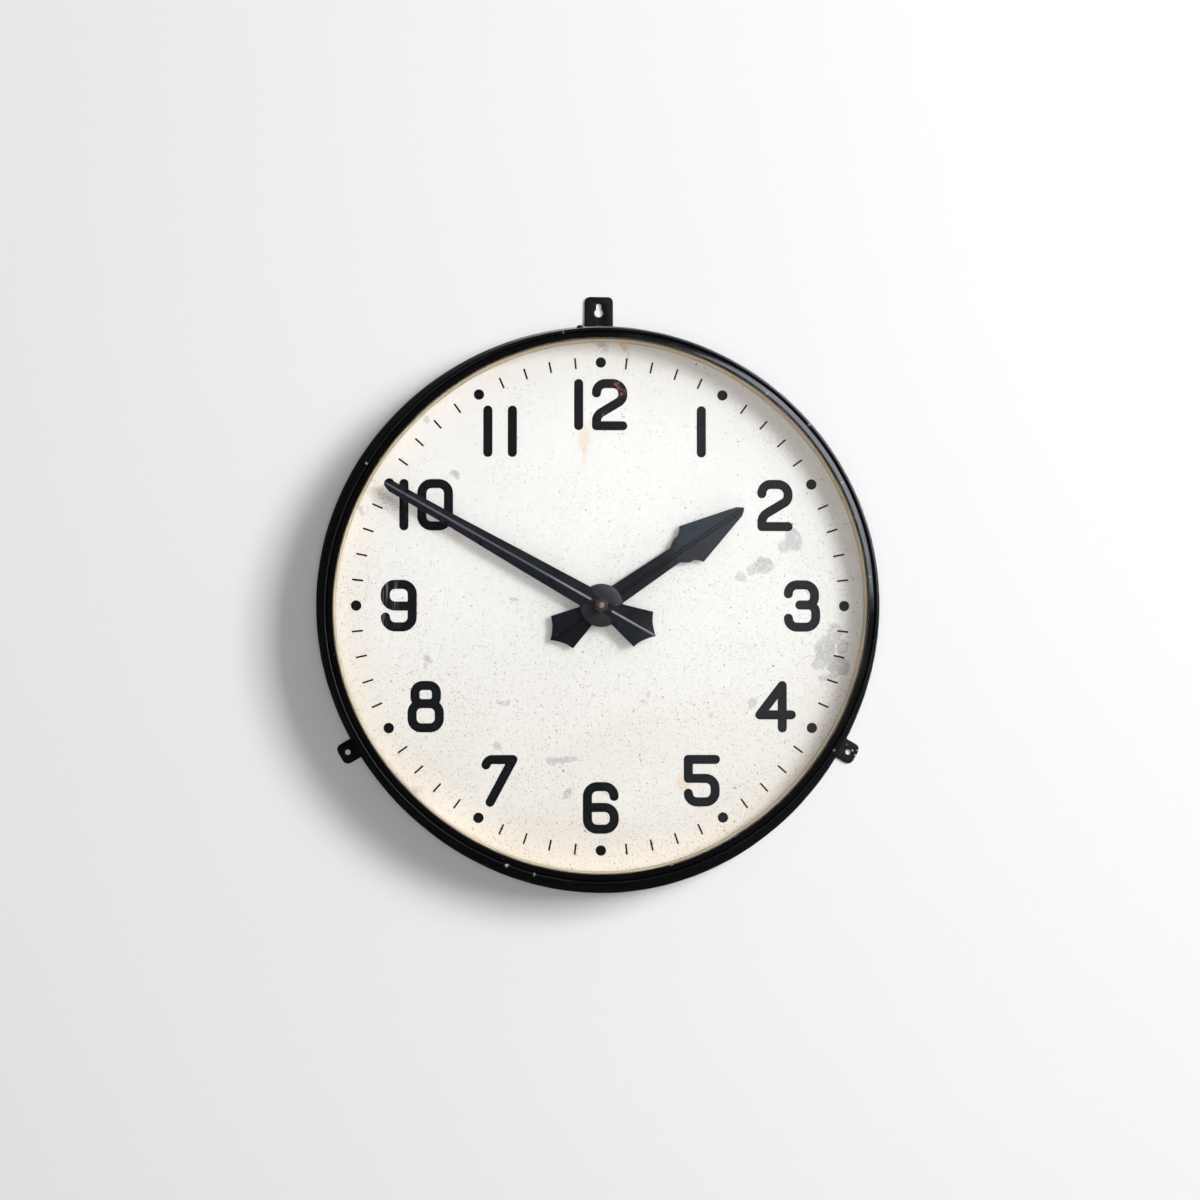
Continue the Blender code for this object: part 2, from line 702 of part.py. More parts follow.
def make_pawls(clock):
    """The drive pawl works at the top of the ratchet wheel and the backstop at its left.

    Both noses stand just clear of the teeth's tips, so that the wheel can be turned on its own.
    """
    hole = circle((0, 0), PIN_RADIUS + GAP, 12)
    hook = [
        (-1.6 * MM, 41 * MM),
        (-1.6 * MM, 38.7 * MM),
        (-0.1 * MM, 37.4 * MM),
        (1.45 * MM, 36.35 * MM),
        (1.5 * MM, 38.1 * MM),
        (8 * MM, 38.1 * MM),
    ]
    outline = pawl_outline(DRIVE_PAWL_PIVOT, hook[0], reversed(hook))
    clock.flat("drive_pawl", "steel", [outline, hole], *PAWL_DEPTH, centre=DRIVE_PAWL_PIVOT)
    nose = [
        (-39 * MM, -4 * MM),
        (-37.4 * MM, -1.9 * MM),
        (-36.35 * MM, -0.45 * MM),
        (-38.2 * MM, -0.4 * MM),
        (-40.4 * MM, -2 * MM),
    ]
    outline = pawl_outline(BACKSTOP_PIVOT, nose[2], reversed(nose))
    clock.flat("backstop_pawl", "steel", [outline, hole], *PAWL_DEPTH, centre=BACKSTOP_PIVOT)
    clock.rod("backstop_pin", "steel", BACKSTOP_PIVOT, PIN_RADIUS, 31.5 * MM, FRONT_PLATE[0] - GAP, 12)


# Wheels, arbor and hands --------------------------------------------------------------------------


def gear_outline(teeth, module, phase):
    """A gear's outline with straight flanks. A tooth is centred on the phase angle."""
    radius = teeth * module / 2
    pitch = 360 / teeth
    root = (radius - 1.15 * module, 0.3)
    top = (radius + 0.75 * module, 0.09)
    points = []
    for tooth in range(teeth):
        angle = phase + pitch * tooth
        points += [polar(angle - pitch * share, r) for r, share in (root, top)]
        points += [polar(angle + pitch * share, r) for r, share in (top, root)]
    return points


def make_motion_work(clock):
    """Cannon pinion, minute wheel with its pinion, and hour wheel with its pipe."""
    stud = polar(MOTION_ANGLE, MOTION_DISTANCE)
    first = 2 * MOTION_DISTANCE / (CANNON_TEETH + MINUTE_WHEEL_TEETH)
    second = 2 * MOTION_DISTANCE / (MINUTE_PINION_TEETH + HOUR_WHEEL_TEETH)
    facing = MOTION_ANGLE - 180
    bore = circle((0, 0), ARBOR_RADIUS + GAP, 16)
    start = FRONT_PLATE[1] + 0.5 * MM
    outline = gear_outline(CANNON_TEETH, first, MOTION_ANGLE)
    cannon = clock.flat("cannon_pinion", "steel", [outline, bore], start, start + 2.2 * MM)
    pipe = ((0, 0), ARBOR_RADIUS + GAP, CANNON_RADIUS, start + 1 * MM, MINUTE_HAND_BACK + 3.4 * MM)
    clock.boolean(cannon, clock.tube("cannon_pipe", None, *pipe, 16), "UNION")

    bore = circle((0, 0), 1.5 * MM + GAP, 12)
    phase = facing + 180 / MINUTE_WHEEL_TEETH
    outline = gear_outline(MINUTE_WHEEL_TEETH, first, phase)
    wheel = clock.flat("minute_wheel", "brass", [outline, bore], start, start + 1.8 * MM, stud)
    phase = facing + 180 / MINUTE_PINION_TEETH
    outline = gear_outline(MINUTE_PINION_TEETH, second, phase)
    pinion = clock.flat("minute_wheel_pinion", None, [outline, bore], start + 1 * MM, 47.4 * MM, stud)
    clock.boolean(wheel, pinion, "UNION")
    clock.rod("minute_wheel_stud", "steel", stud, 1.5 * MM, FRONT_PLATE[1] + GAP, 48.3 * MM, 12)

    bore = circle((0, 0), CANNON_RADIUS + GAP, 16)
    outline = gear_outline(HOUR_WHEEL_TEETH, second, MOTION_ANGLE)
    hour = clock.flat("hour_wheel", "brass", [outline, bore], 45.1 * MM, 47.1 * MM)
    pipe = ((0, 0), CANNON_RADIUS + GAP, HOUR_PIPE_RADIUS, 46 * MM, HOUR_HAND_BACK + 3.2 * MM)
    clock.boolean(hour, clock.tube("hour_pipe", None, *pipe, 16), "UNION")


def make_centre(clock):
    """The arbor through the movement, the ratchet wheel on it, and the nut at its front end."""
    arbor_front = 70.4 * MM
    clock.rod("minute_arbor", "steel", (0, 0), ARBOR_RADIUS, 1.8 * MM, arbor_front, 16)
    bore = circle((0, 0), ARBOR_RADIUS + GAP, 16)
    wheel = clock.flat("ratchet_wheel", "brass", [ratchet_outline(), bore], *RATCHET_DEPTH)
    hub = ((0, 0), ARBOR_RADIUS + GAP, 8 * MM, 27 * MM, RATCHET_DEPTH[0] + 1 * MM)
    clock.boolean(wheel, clock.tube("ratchet_hub", None, *hub, 16), "UNION")
    nut = circle((0, 0), 6.2 * MM, 6)
    clock.flat("centre_nut", "old_brass", [nut, bore], MINUTE_HAND_BACK + 4.1 * MM, 69.7 * MM)


def tail_outline(tip, corner, half_width, waist, waist_half):
    """Half a hand's tail, from its end point on the centre line out to the waist beside the hub."""
    scallop = []
    for i in range(1, 4):
        share = i / 4
        along = tip + (corner - tip) * share
        hollow = 1.6 * MM * math.sin(math.pi * share)
        scallop.append((half_width * share - hollow * 0.5, along + hollow))
    return [(0, tip)] + scallop + [(half_width, corner), (waist_half, waist)]


def hand_outline(half):
    """A whole hand from its right half, which runs from the tail's point to the tip's point."""
    return half + [(-x, y) for x, y in reversed(half[1:-1])]


def make_hands(clock):
    tail = tail_outline(-53.2 * MM, -41.3 * MM, 17.2 * MM, -14 * MM, 8.9 * MM)
    blade = [
        (9.1 * MM, 6 * MM),
        (7.6 * MM, 79 * MM),
        (12.3 * MM, 85.6 * MM),
        (12.3 * MM, 90.6 * MM),
        (18.7 * MM, 95 * MM),
        (4.5 * MM, 145.8 * MM),
        (0, 151.1 * MM),
    ]
    outlines = [hand_outline(tail + blade), circle((0, 0), HOUR_PIPE_RADIUS + GAP, 16)]
    outlines = [turn(points, HOUR_ANGLE) for points in outlines]
    clock.flat("hour_hand", "hand_enamel", outlines, HOUR_HAND_BACK, HOUR_HAND_BACK + 1.8 * MM)

    tail = tail_outline(-54.2 * MM, -42.2 * MM, 17.4 * MM, -14 * MM, 9.6 * MM)
    blade = [
        (9.6 * MM, 8 * MM),
        (5 * MM, 194 * MM),
        (4.9 * MM, 209 * MM),
        (3.3 * MM, 213.4 * MM),
        (0, 216.2 * MM),
    ]
    bore = circle((0, 0), CANNON_RADIUS + GAP, 16)
    outlines = [turn(points, MINUTE_ANGLE) for points in (hand_outline(tail + blade), bore)]
    front = MINUTE_HAND_BACK + 2 * MM
    hand = clock.flat("minute_hand", "hand_enamel", outlines, MINUTE_HAND_BACK, front)
    boss = ((0, 0), CANNON_RADIUS + GAP, MINUTE_BOSS_RADIUS, MINUTE_HAND_BACK - 0.6 * MM, front - 0.8 * MM)
    clock.boolean(hand, clock.tube("minute_boss", None, *boss, 32), "UNION")


def main():
    clear_scene()
    clock = Clock()
    make_case(clock)
    make_lugs(clock)
    make_bezel(clock)
    make_front(clock)
    make_dial(clock)
    make_cable_entry(clock)
    make_movement_frame(clock)
    make_electromagnet(clock)
    make_armature(clock)
    make_return_spring(clock)
    make_pawls(clock)
    make_motion_work(clock)
    make_centre(clock)
    make_hands(clock)


main()
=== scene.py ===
"""Looks of the round wall clock: bent and chipped black case, aged dial, pressed hands, old glass.

Lengths are in metres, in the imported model's frame: +Z is up, the clock faces -Y, and the origin is on
the hands' axis in the plane of the case's back. Clock coordinates are (across, up, depth), where depth
is the distance forward of the case's back. Clock angles run clockwise from twelve, seen from the front.
"""

import json
import math

import bmesh
import bpy
from mathutils import Matrix, Vector, noise


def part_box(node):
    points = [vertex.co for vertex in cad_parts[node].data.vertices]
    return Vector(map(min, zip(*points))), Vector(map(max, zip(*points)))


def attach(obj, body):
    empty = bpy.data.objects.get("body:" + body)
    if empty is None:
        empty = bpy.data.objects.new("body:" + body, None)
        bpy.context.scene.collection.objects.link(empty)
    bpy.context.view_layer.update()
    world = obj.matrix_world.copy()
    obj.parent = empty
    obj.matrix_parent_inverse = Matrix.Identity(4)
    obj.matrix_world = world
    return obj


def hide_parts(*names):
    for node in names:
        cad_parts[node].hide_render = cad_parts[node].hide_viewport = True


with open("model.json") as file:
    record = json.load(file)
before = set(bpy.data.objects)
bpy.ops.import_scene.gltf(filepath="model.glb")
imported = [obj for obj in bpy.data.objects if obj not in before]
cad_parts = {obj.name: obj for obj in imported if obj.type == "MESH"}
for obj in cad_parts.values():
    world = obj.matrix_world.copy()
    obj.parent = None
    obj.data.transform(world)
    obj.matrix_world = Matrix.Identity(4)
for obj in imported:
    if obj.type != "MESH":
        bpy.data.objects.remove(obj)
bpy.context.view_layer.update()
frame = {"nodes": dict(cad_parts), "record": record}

MM = 0.001
GAP = 0.3 * MM

# Sizes read from the frame's nodes, in clock depths and radii
CASE_FRONT = -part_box("case_pan")[0][1]
CASE_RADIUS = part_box("case_pan")[1][0]
BEZEL_FRONT = -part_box("bezel_ring")[0][1]
BEZEL_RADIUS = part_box("bezel_ring")[1][0]
BEZEL_BACK = -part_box("bezel_ring")[1][1]
GLASS_FRONT = -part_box("glass_pane")[0][1]
GLASS_BACK = -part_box("glass_pane")[1][1]
DIAL_FRONT = -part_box("dial_plate")[0][1]
SEAL_BACK = -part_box("glass_seal")[1][1]
LUG_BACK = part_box("top_hanging_lug")[1][1]
HOUR_HAND_BACK = -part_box("hour_hand")[1][1]
MINUTE_BOSS_BACK = -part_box("minute_hand")[1][1]

# Case, bezel and glass
SHEET = 1.2 * MM
CASE_CORNER = 13 * MM
CASE_RIM_RADIUS = 239.5 * MM
CASE_RIM_WIDTH = 2.9 * MM
LIP_RADIUS = 230.3 * MM
GLASS_RADIUS = 234 * MM
SPACER_RADIUS = 229.5 * MM
BEZEL_SCREW_ANGLE = -4.4
BEZEL_SCREW_DEPTH = 66 * MM
GROMMET_PLACE = (0, -170 * MM)
GROMMET_RADIUS = 8.3 * MM

# How far the old case is out of round: (waves round the ring, size, clock angle of one crest).
# The back waves come on top of the rim's and fade out towards the rim.
RIM_WAVES = (
    (0, 0.3 * MM, 0), (1, 0.2 * MM, 154), (2, 1.15 * MM, 40), (3, 0.4 * MM, 34), (4, 0.95 * MM, 85),
)
BACK_WAVES = (
    (0, 0.35 * MM, 0), (1, 1.25 * MM, 218), (2, 1.85 * MM, 147), (3, 0.75 * MM, 52), (4, 0.5 * MM, 37),
)

# Dial print
PRINT_THICKNESS = 0.08 * MM
STROKE = 8 * MM
NUMERAL_RADIUS = 176 * MM
TRACK_RADIUS = 213 * MM
DOT_RADIUS = 4.55 * MM
TICK = (1.6 * MM, 9.8 * MM)

# Hands at rest
MINUTE_ANGLE = 299.5
HOUR_ANGLE = 55.7
MINUTE_BOSS_RADIUS = 18.8 * MM
HOUR_HOLE = 5.6 * MM
MINUTE_HOLE = 4.2 * MM


# Clock geometry --------------------------------


def place(across, up, depth):
    return Vector((across, -depth, up))


def polar(angle, radius):
    """(across, up) of a point at a clock angle in degrees."""
    turn = math.radians(angle)
    return (radius * math.sin(turn), radius * math.cos(turn))


def bend(angle, waves=RIM_WAVES):
    """How far the case stands out of a true circle at a clock angle in degrees."""
    return sum(size * math.cos(count * math.radians(angle - crest)) for count, size, crest in waves)


def arc(centre, radius, start, end, steps):
    """Points of an arc in a profile. The angle runs from the outward direction towards the front."""
    points = []
    for i in range(steps + 1):
        turn = math.radians(start + (end - start) * i / steps)
        points.append((centre[0] + radius * math.cos(turn), centre[1] + radius * math.sin(turn)))
    return points


def case_side_radius(depth):
    """Outer radius of the case's side, which swells slightly towards the wall."""
    share = max(depth - CASE_CORNER, 0) / (CASE_FRONT - CASE_CORNER)
    return CASE_RADIUS - (CASE_RADIUS - CASE_RIM_RADIUS) * share**1.4


# Mesh tools ------------------------------------


def smoothed(mesh, sharp_angle):
    """Shades a mesh smooth, apart from its edges sharper than an angle in degrees."""
    mesh.shade_smooth()
    mesh.set_sharp_from_angle(angle=math.radians(sharp_angle))
    return mesh


def finished(bm, name, sharp_angle=30):
    bmesh.ops.recalc_face_normals(bm, faces=bm.faces)
    mesh = bpy.data.meshes.new(name)
    bm.to_mesh(mesh)
    bm.free()
    return smoothed(mesh, sharp_angle)


def in_scene(name, data):
    """A new object of the scene that shows a mesh, curve, lamp or camera."""
    obj = bpy.data.objects.new(name, data)
    bpy.context.scene.collection.objects.link(obj)
    return obj


def evaluated_mesh(obj):
    """The mesh of an object as its modifiers or its curve make it. The object is removed."""
    bpy.context.view_layer.update()
    result = bpy.data.meshes.new_from_object(obj.evaluated_get(bpy.context.evaluated_depsgraph_get()))
    bpy.data.objects.remove(obj)
    return result


def add_piece(name, mesh, material, slot, *nodes, body="case"):
    """A finished mesh as a piece that rides on a CAD body and stands for these CAD nodes."""
    obj = in_scene(name, mesh)
    mesh.materials.clear()
    mesh.materials.append(material)
    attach(obj, body)
    if nodes:
        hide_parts(*nodes)
    return obj


def with_modifier(mesh, kind, **settings):
    """The mesh as a modifier leaves it."""
    obj = in_scene("work", mesh)
    modifier = obj.modifiers.new(kind, kind)
    for key, value in settings.items():
        setattr(modifier, key, value)
    result = evaluated_mesh(obj)
    result.name = mesh.name
    return result


def combined(mesh, other, operation):
    """Boolean of two meshes."""
    tool = in_scene("tool", other)
    result = with_modifier(mesh, "BOOLEAN", operation=operation, solver="EXACT", object=tool)
    bpy.data.objects.remove(tool)
    return result


def softened(mesh, width, segments=3, angle=30):
    """Rounds a mesh's sharp edges."""
    limit = {"limit_method": "ANGLE", "angle_limit": math.radians(angle), "use_clamp_overlap": True}
    result = with_modifier(mesh, "BEVEL", width=width, segments=segments, harden_normals=False, **limit)
    return smoothed(result, angle)


def lathe(name, profile, segments=360, follow=1.0, ripple=0.0, sharp_angle=30, centre=(0, 0), back=0.0):
    """Turns a closed profile of (radius, depth) points about the clock's axis, out of round by bend().

    Points at radius zero become the middle of a closed disc. back is the share of the back waves.
    """
    bm = bmesh.new()
    rings = []
    for radius, depth in profile:
        if radius < 1e-6:
            rings.append([bm.verts.new(place(*centre, depth))] * segments)
            continue
        ring = []
        for i in range(segments):
            angle = 360 * i / segments
            wave = noise.noise(Vector((*polar(angle, 9), depth * 150)))
            swell = back * bend(angle, BACK_WAVES) * min(1, max(0, 1.15 * (1 - depth / CASE_FRONT)))
            across, up = polar(angle, radius + follow * bend(angle) + swell + ripple * wave)
            ring.append(bm.verts.new(place(across + centre[0], up + centre[1], depth)))
        rings.append(ring)
    pairs = zip(rings, rings[1:] + rings[:1])
    for near, far in pairs:
        for i in range(segments):
            j = (i + 1) % segments
            corners = []
            for vert in (near[i], near[j], far[j], far[i]):
                if vert not in corners:
                    corners.append(vert)
            if len(corners) > 2:
                bm.faces.new(corners)
    return finished(bm, name, sharp_angle)


def flat_piece(name, outlines, back, front):
    """Flat outlines of (across, up) points with their holes, filled and thickened from back to front."""
    curve = bpy.data.curves.new(name, "CURVE")
    curve.dimensions = "2D"
    curve.fill_mode = "BOTH"
    curve.extrude = (front - back) / 2
    for outline in outlines:
        spline = curve.splines.new("POLY")
        spline.points.add(len(outline) - 1)
        for point, (across, up) in zip(spline.points, outline):
            point.co = (across, up, 0, 1)
        spline.use_cyclic_u = True
    mesh = evaluated_mesh(in_scene(name, curve))
    mesh.name = name
    middle = place(0, 0, (front + back) / 2)
    mesh.transform(Matrix.Translation(middle) @ Matrix.Rotation(math.pi / 2, 4, "X"))
    bm = bmesh.new()
    bm.from_mesh(mesh)
    bmesh.ops.remove_doubles(bm, verts=bm.verts, dist=1e-6)
    return finished(bm, name)


def joined(name, meshes):
    """Several meshes as one."""
    bm = bmesh.new()
    for mesh in meshes:
        bm.from_mesh(mesh)
    return finished(bm, name)


def softened_copy(node, width):
    """A CAD node's mesh with its flat faces cleaned and its sharp edges rounded."""
    bm = bmesh.new()
    bm.from_mesh(frame["nodes"][node].data)
    bmesh.ops.remove_doubles(bm, verts=bm.verts, dist=1e-6)
    bmesh.ops.dissolve_limit(bm, angle_limit=math.radians(0.5), verts=bm.verts, edges=bm.edges)
    return softened(finished(bm, node), width)


# Materials -------------------------------------


class Paint:
    """A node material with one Principled shader, and short ways to add nodes to it."""

    def __init__(self, name, colour=(0.5, 0.5, 0.5), roughness=0.5, metallic=0.0, **sockets):
        self.material = bpy.data.materials.new(name)
        self.material.use_nodes = True
        self.tree = self.material.node_tree
        self.tree.nodes.clear()
        self.output = self.tree.nodes.new("ShaderNodeOutputMaterial")
        self.shader = self.tree.nodes.new("ShaderNodeBsdfPrincipled")
        self.tree.links.new(self.shader.outputs[0], self.output.inputs[0])
        self.shader.inputs["Base Color"].default_value = (*colour, 1)
        self.shader.inputs["Roughness"].default_value = roughness
        self.shader.inputs["Metallic"].default_value = metallic
        for key, value in sockets.items():
            socket = key.replace("_", " ").title().replace("Ior", "IOR")
            self.shader.inputs[socket].default_value = value
        self.coords = self.add("TexCoord").outputs["Object"]

    def add(self, kind, **settings):
        node = self.tree.nodes.new("ShaderNode" + kind)
        for key, value in settings.items():
            setattr(node, key, value)
        return node

    def feed(self, socket, value):
        if hasattr(value, "is_linked"):
            self.tree.links.new(value, socket)
        elif isinstance(value, (tuple, list)) and len(value) == 3 and socket.type == "RGBA":
            socket.default_value = (*value, 1)
        else:
            socket.default_value = value

    def set(self, name, value):
        self.feed(self.shader.inputs[name], value)

    def dress(self, base, roughness, normal):
        for name, value in (("Base Color", base), ("Roughness", roughness), ("Normal", normal)):
            self.set(name, value)
        return self.material

    def now(self, name):
        """What already feeds a socket of the shader, so that more can be laid over it."""
        return self.shader.inputs[name].links[0].from_socket

    def node(self, kind, inputs, **settings):
        """Adds a node and feeds its inputs, listed in order or by name. Returns its outputs."""
        node = self.add(kind, **settings)
        for key, value in inputs.items() if isinstance(inputs, dict) else enumerate(inputs):
            self.feed(node.inputs[key], value)
        return node.outputs

    def maths(self, operation, *values):
        return self.node("Math", values, operation=operation)[0]

    def times(self, *values):
        return self.maths("MULTIPLY", *values)

    def vector(self, operation, *values):
        output = "Value" if operation in ("LENGTH", "DISTANCE", "DOT_PRODUCT") else "Vector"
        return self.node("VectorMath", values, operation=operation)[output]

    def axes(self, coords=None):
        return self.node("SeparateXYZ", [coords or self.coords])

    def flattened(self):
        """The coordinates as (across, up, 0)."""
        across, _, up = self.axes()
        return self.node("CombineXYZ", (across, up))[0]

    def noise(self, scale, detail=4, roughness=0.55, coords=None, colour=False):
        inputs = {"Vector": coords or self.coords, "Scale": scale, "Detail": detail, "Roughness": roughness}
        return self.node("TexNoise", inputs)["Color" if colour else "Fac"]

    def shaken(self, scale, reach, detail=4):
        """The coordinates moved about by noise, so that edges drawn in them are ragged."""
        moved = self.vector("SUBTRACT", self.noise(scale, detail, 0.7, colour=True), (0.5,) * 3)
        return self.vector("ADD", self.coords, self.vector("MULTIPLY", moved, (reach,) * 3))

    def cells(self, scale, coords=None):
        """Distance to the nearest scattered point, and a random number for each point's cell."""
        outputs = self.node("TexVoronoi", {"Vector": coords or self.coords, "Scale": scale})
        return outputs["Distance"], self.axes(outputs["Color"])[0]

    def ease(self, value, low, high, to_low=0.0, to_high=1.0):
        """Turns a value smoothly from to_low, at low, to to_high, at high."""
        inputs = (value, low, high, to_low, to_high)
        return self.node("MapRange", inputs, interpolation_type="SMOOTHSTEP")[0]

    def clouds(self, noise, *limits):
        """Eased noise. noise is (scale, detail) or (scale, detail, roughness)."""
        return self.ease(self.noise(*noise), *limits)

    def blend(self, share, first, second):
        return self.node("Mix", {"Factor": share, 6: first, 7: second}, data_type="RGBA")[2]

    def bump(self, height, distance, strength=1.0, normal=None):
        inputs = {"Strength": strength, "Distance": distance, "Height": height}
        if normal:
            inputs["Normal"] = normal
        return self.node("Bump", inputs)[0]

    def clear_where(self, share, colour=(1, 1, 1)):
        """Makes the material see-through where share is 1."""
        clear = self.node("BsdfTransparent", [colour])[0]
        mixed = self.node("MixShader", (share, self.shader.outputs[0], clear))[0]
        self.tree.links.new(mixed, self.output.inputs[0])

    def spot(self, across, up, width, height, angle=0.0, edge=0.25, coords=None):
        """1 inside an ellipse on the dial, falling to 0 over its edge share. The angle is clockwise."""
        turn = (0, math.radians(angle), 0)
        inputs = (coords or self.coords, (across, 0, up), turn, (width / 2, 100, height / 2))
        local = self.node("Mapping", inputs, vector_type="TEXTURE")[0]
        return self.ease(self.vector("LENGTH", local), 1 + edge, 1 - edge)

    def all_spots(self, spots, edge=0.25, coords=None):
        """The strongest of several spots, each (across, up, width, height, angle, strength) in mm."""
        total = None
        for across, up, width, height, angle, strength in spots:
            place_and_size = [value * MM for value in (across, up, width, height)]
            found = self.spot(*place_and_size, angle, edge, coords)
            found = self.times(found, strength)
            total = found if total is None else self.maths("MAXIMUM", total, found)
        return total


def enamel(name, colour=(0.0042, 0.0042, 0.0045), dust=0.25, chips=0.5, gloss=0.16, wave=0.35):
    """Black stoving enamel: wavy gloss, dust, fine pits and pale chips."""
    paint = Paint(name, colour, gloss, specular_ior_level=0.35)
    cloudy = paint.noise(28, 5)
    fine = paint.noise(900, 3, 0.6)
    dusty = paint.times(paint.clouds((60, 6, 0.7), 0.5, 0.75), dust)
    base = paint.blend(dusty, colour, (0.012, 0.012, 0.013))
    distance, lot = paint.cells(330)
    chipped = paint.times(paint.ease(distance, 0.2, 0.12), paint.ease(lot, 1 - 0.04 * chips, 1))
    base = paint.blend(chipped, base, (0.35, 0.34, 0.33))
    low = paint.bump(paint.noise(55, 2, 0.4), wave * MM, 0.6)
    shine = paint.ease(cloudy, 0.35, 0.7, gloss, gloss + 0.16)
    paint.dress(base, shine, paint.bump(fine, 0.02 * MM, 0.5, low))
    return paint


# Where the dial's paint has gone, as (across, up, width, height, angle, strength) in mm, degrees and
# a share. Flakes show grey primer, stains are rust, soot and damp.
FLAKES = (
    (143, 35.5, 16, 13, 20, 0.8), (134, 33, 12, 9, -20, 0.6), (169, 57.5, 20, 15, 70, 0.75),
    (160, 51, 12, 10, 0, 0.6), (123, 25, 11, 8, 10, 0.65), (196, -38, 17, 26, 10, 0.8),
    (208, -52, 20, 16, 30, 0.85), (191, -50, 15, 12, -30, 0.7), (205, -23, 12, 18, 0, 0.6),
    (211, -37, 10, 13, 0, 0.8), (199, -62, 20, 6, -10, 0.7), (-33, -134, 28, 6, -2, 0.85),
    (-44, -136, 10, 4, 25, 0.8), (-84.5, -84.5, 13, 3.5, 0, 0.85), (-76, 6, 9, 3.5, 0, 0.7),
    (-150.5, -46, 8, 5, 35, 0.75), (-152, -52, 4, 5, 0, 0.6), (-29.5, -163, 6, 10, 20, 0.85),
    (-31, -167, 8, 3, -25, 0.8), (-128.5, 115, 9, 5, -12, 0.8), (-126, 112, 6, 3, 30, 0.7),
    (-151.5, 162, 6, 5, 40, 0.6), (-90.5, -122, 8, 6, 30, 0.7), (132, -85, 7, 10, 0, 0.7),
    (38, -84, 8, 3, 40, 0.6), (41, -78, 4, 5, 0, 0.7), (-210, 83, 4, 10, -30, 0.6),
    (96, -96, 5, 4, 0, 0.6),
)
SOOT = (
    (-186, 89, 30, 12, 38, 0.75), (-175, 78, 16, 10, 40, 0.45), (0.9, 227.6, 9, 3.5, 12, 0.9),
    (4, 224, 5, 8, 30, 0.5), (-162, -161, 9, 8, 0, 0.45), (6, -161, 10, 8, 20, 0.5),
)
RUST = (
    (21, 226, 3.5, 6, 0, 0.8), (18.5, 229, 3.5, 5, 10, 0.7), (23, 219, 2.5, 12, 4, 0.35),
    (-14.5, 146, 10, 22, 0, 0.35), (-15, 134, 5, 20, 2, 0.25), (73, -154, 12, 14, 0, 0.4),
    (-125, 68, 8, 26, 0, 0.3),
)
DAMP = (
    (20, -122, 90, 46, -18, 0.45), (55, -118, 60, 36, 20, 0.3), (-15, -140, 60, 40, 0, 0.3),
    (105, -105, 70, 40, 30, 0.18), (-40, -205, 190, 52, 8, 0.55), (95, -192, 120, 46, -28, 0.35),
    (-160, -150, 90, 60, -45, 0.3), (-212, 10, 26, 120, 5, 0.3),
)


# The dial's specks, as (cells a metre, size and share of a cell, strength)
SPECKS = ((560, 0.36, 0.75, 0.42), (330, 0.26, 0.55, 0.6), (150, 0.15, 0.45, 0.75), (60, 0.085, 0.35, 0.85))


def dial_face():
    """Aged off-white paint: cloudy, specked and flaking, darker, warmer and stained towards the bottom,
    with painted light along the lower rim.
    """
    paint = Paint("dial_face", (0.78, 0.75, 0.69), 0.55)
    up = paint.axes()[2]
    flat = paint.flattened()
    fine = paint.vector("SUBTRACT", paint.shaken(420, 7 * MM, 5), paint.coords)
    ragged = paint.vector("ADD", paint.shaken(70, 9 * MM, 5), fine)
    smoky = paint.shaken(14, 70 * MM, 5)
    cloudy = paint.clouds((9, 4, 0.6), 0.35, 0.7)
    base = paint.blend(cloudy, (0.75, 0.742, 0.717), (0.722, 0.71, 0.68))
    low = paint.ease(up, 0.06, -0.13)
    base = paint.blend(paint.times(low, 0.8), base, (0.68, 0.655, 0.605))
    tone = paint.clouds((230, 6, 0.8), 0.35, 0.7, 0.0, 0.26)
    base = paint.blend(tone, base, (0.60, 0.57, 0.51))

    rim = paint.ease(paint.vector("LENGTH", flat), 0.196, 0.232)
    # Painted light: the band along the dial's lower rim is painted a paler cream.
    painted_light_at_foot = paint.times(rim, paint.ease(up, -0.1, -0.2))
    base = paint.blend(painted_light_at_foot, base, (0.86, 0.81, 0.73))
    left_low = paint.ease(paint.vector("DOT_PRODUCT", paint.coords, (-0.6, 0, -0.8)), -0.06, 0.2)
    rim_stain = paint.times(paint.times(rim, left_low), 0.3)
    base = paint.blend(rim_stain, base, (0.64, 0.585, 0.51))
    damp = paint.times(paint.all_spots(DAMP, 0.75, smoky), 0.55)
    base = paint.blend(damp, base, (0.62, 0.545, 0.455))
    rust = paint.all_spots(RUST, 0.6, ragged)
    base = paint.blend(rust, base, (0.66, 0.42, 0.22))
    grainy = paint.clouds((520, 6, 0.8), 0.35, 0.65)
    soot = paint.times(paint.all_spots(SOOT, 0.7, ragged), grainy)
    base = paint.blend(soot, base, (0.16, 0.14, 0.12))
    left_over = paint.clouds((330, 5, 0.7), 0.36, 0.5, 0.35, 1.0)
    flakes = paint.times(paint.all_spots(FLAKES, 0.14, ragged), left_over)
    grey = paint.blend(paint.noise(260, 4), (0.34, 0.335, 0.33), (0.50, 0.49, 0.48))
    base = paint.blend(flakes, base, grey)

    drifts = paint.clouds((22, 3), 0.4, 0.7, -0.3, 0.35)
    crowd = paint.maths("ADD", paint.ease(up, 0.2, -0.2, 0.25, 1.0), drifts)
    for scale, size, share, strength in SPECKS:
        distance, lot = paint.cells(scale, flat)
        speck = paint.ease(distance, size, size * 0.45)
        chosen = paint.maths("GREATER_THAN", paint.times(crowd, share), lot)
        speck = paint.times(paint.times(speck, chosen), strength)
        base = paint.blend(speck, base, (0.17, 0.14, 0.11))
    dull = paint.clouds((70, 4), 0.3, 0.7, 0.45, 0.62)
    height = paint.maths("SUBTRACT", paint.times(paint.noise(700, 3), 0.25), flakes)
    return paint.dress(base, dull, paint.bump(height, 0.06 * MM, 0.5))


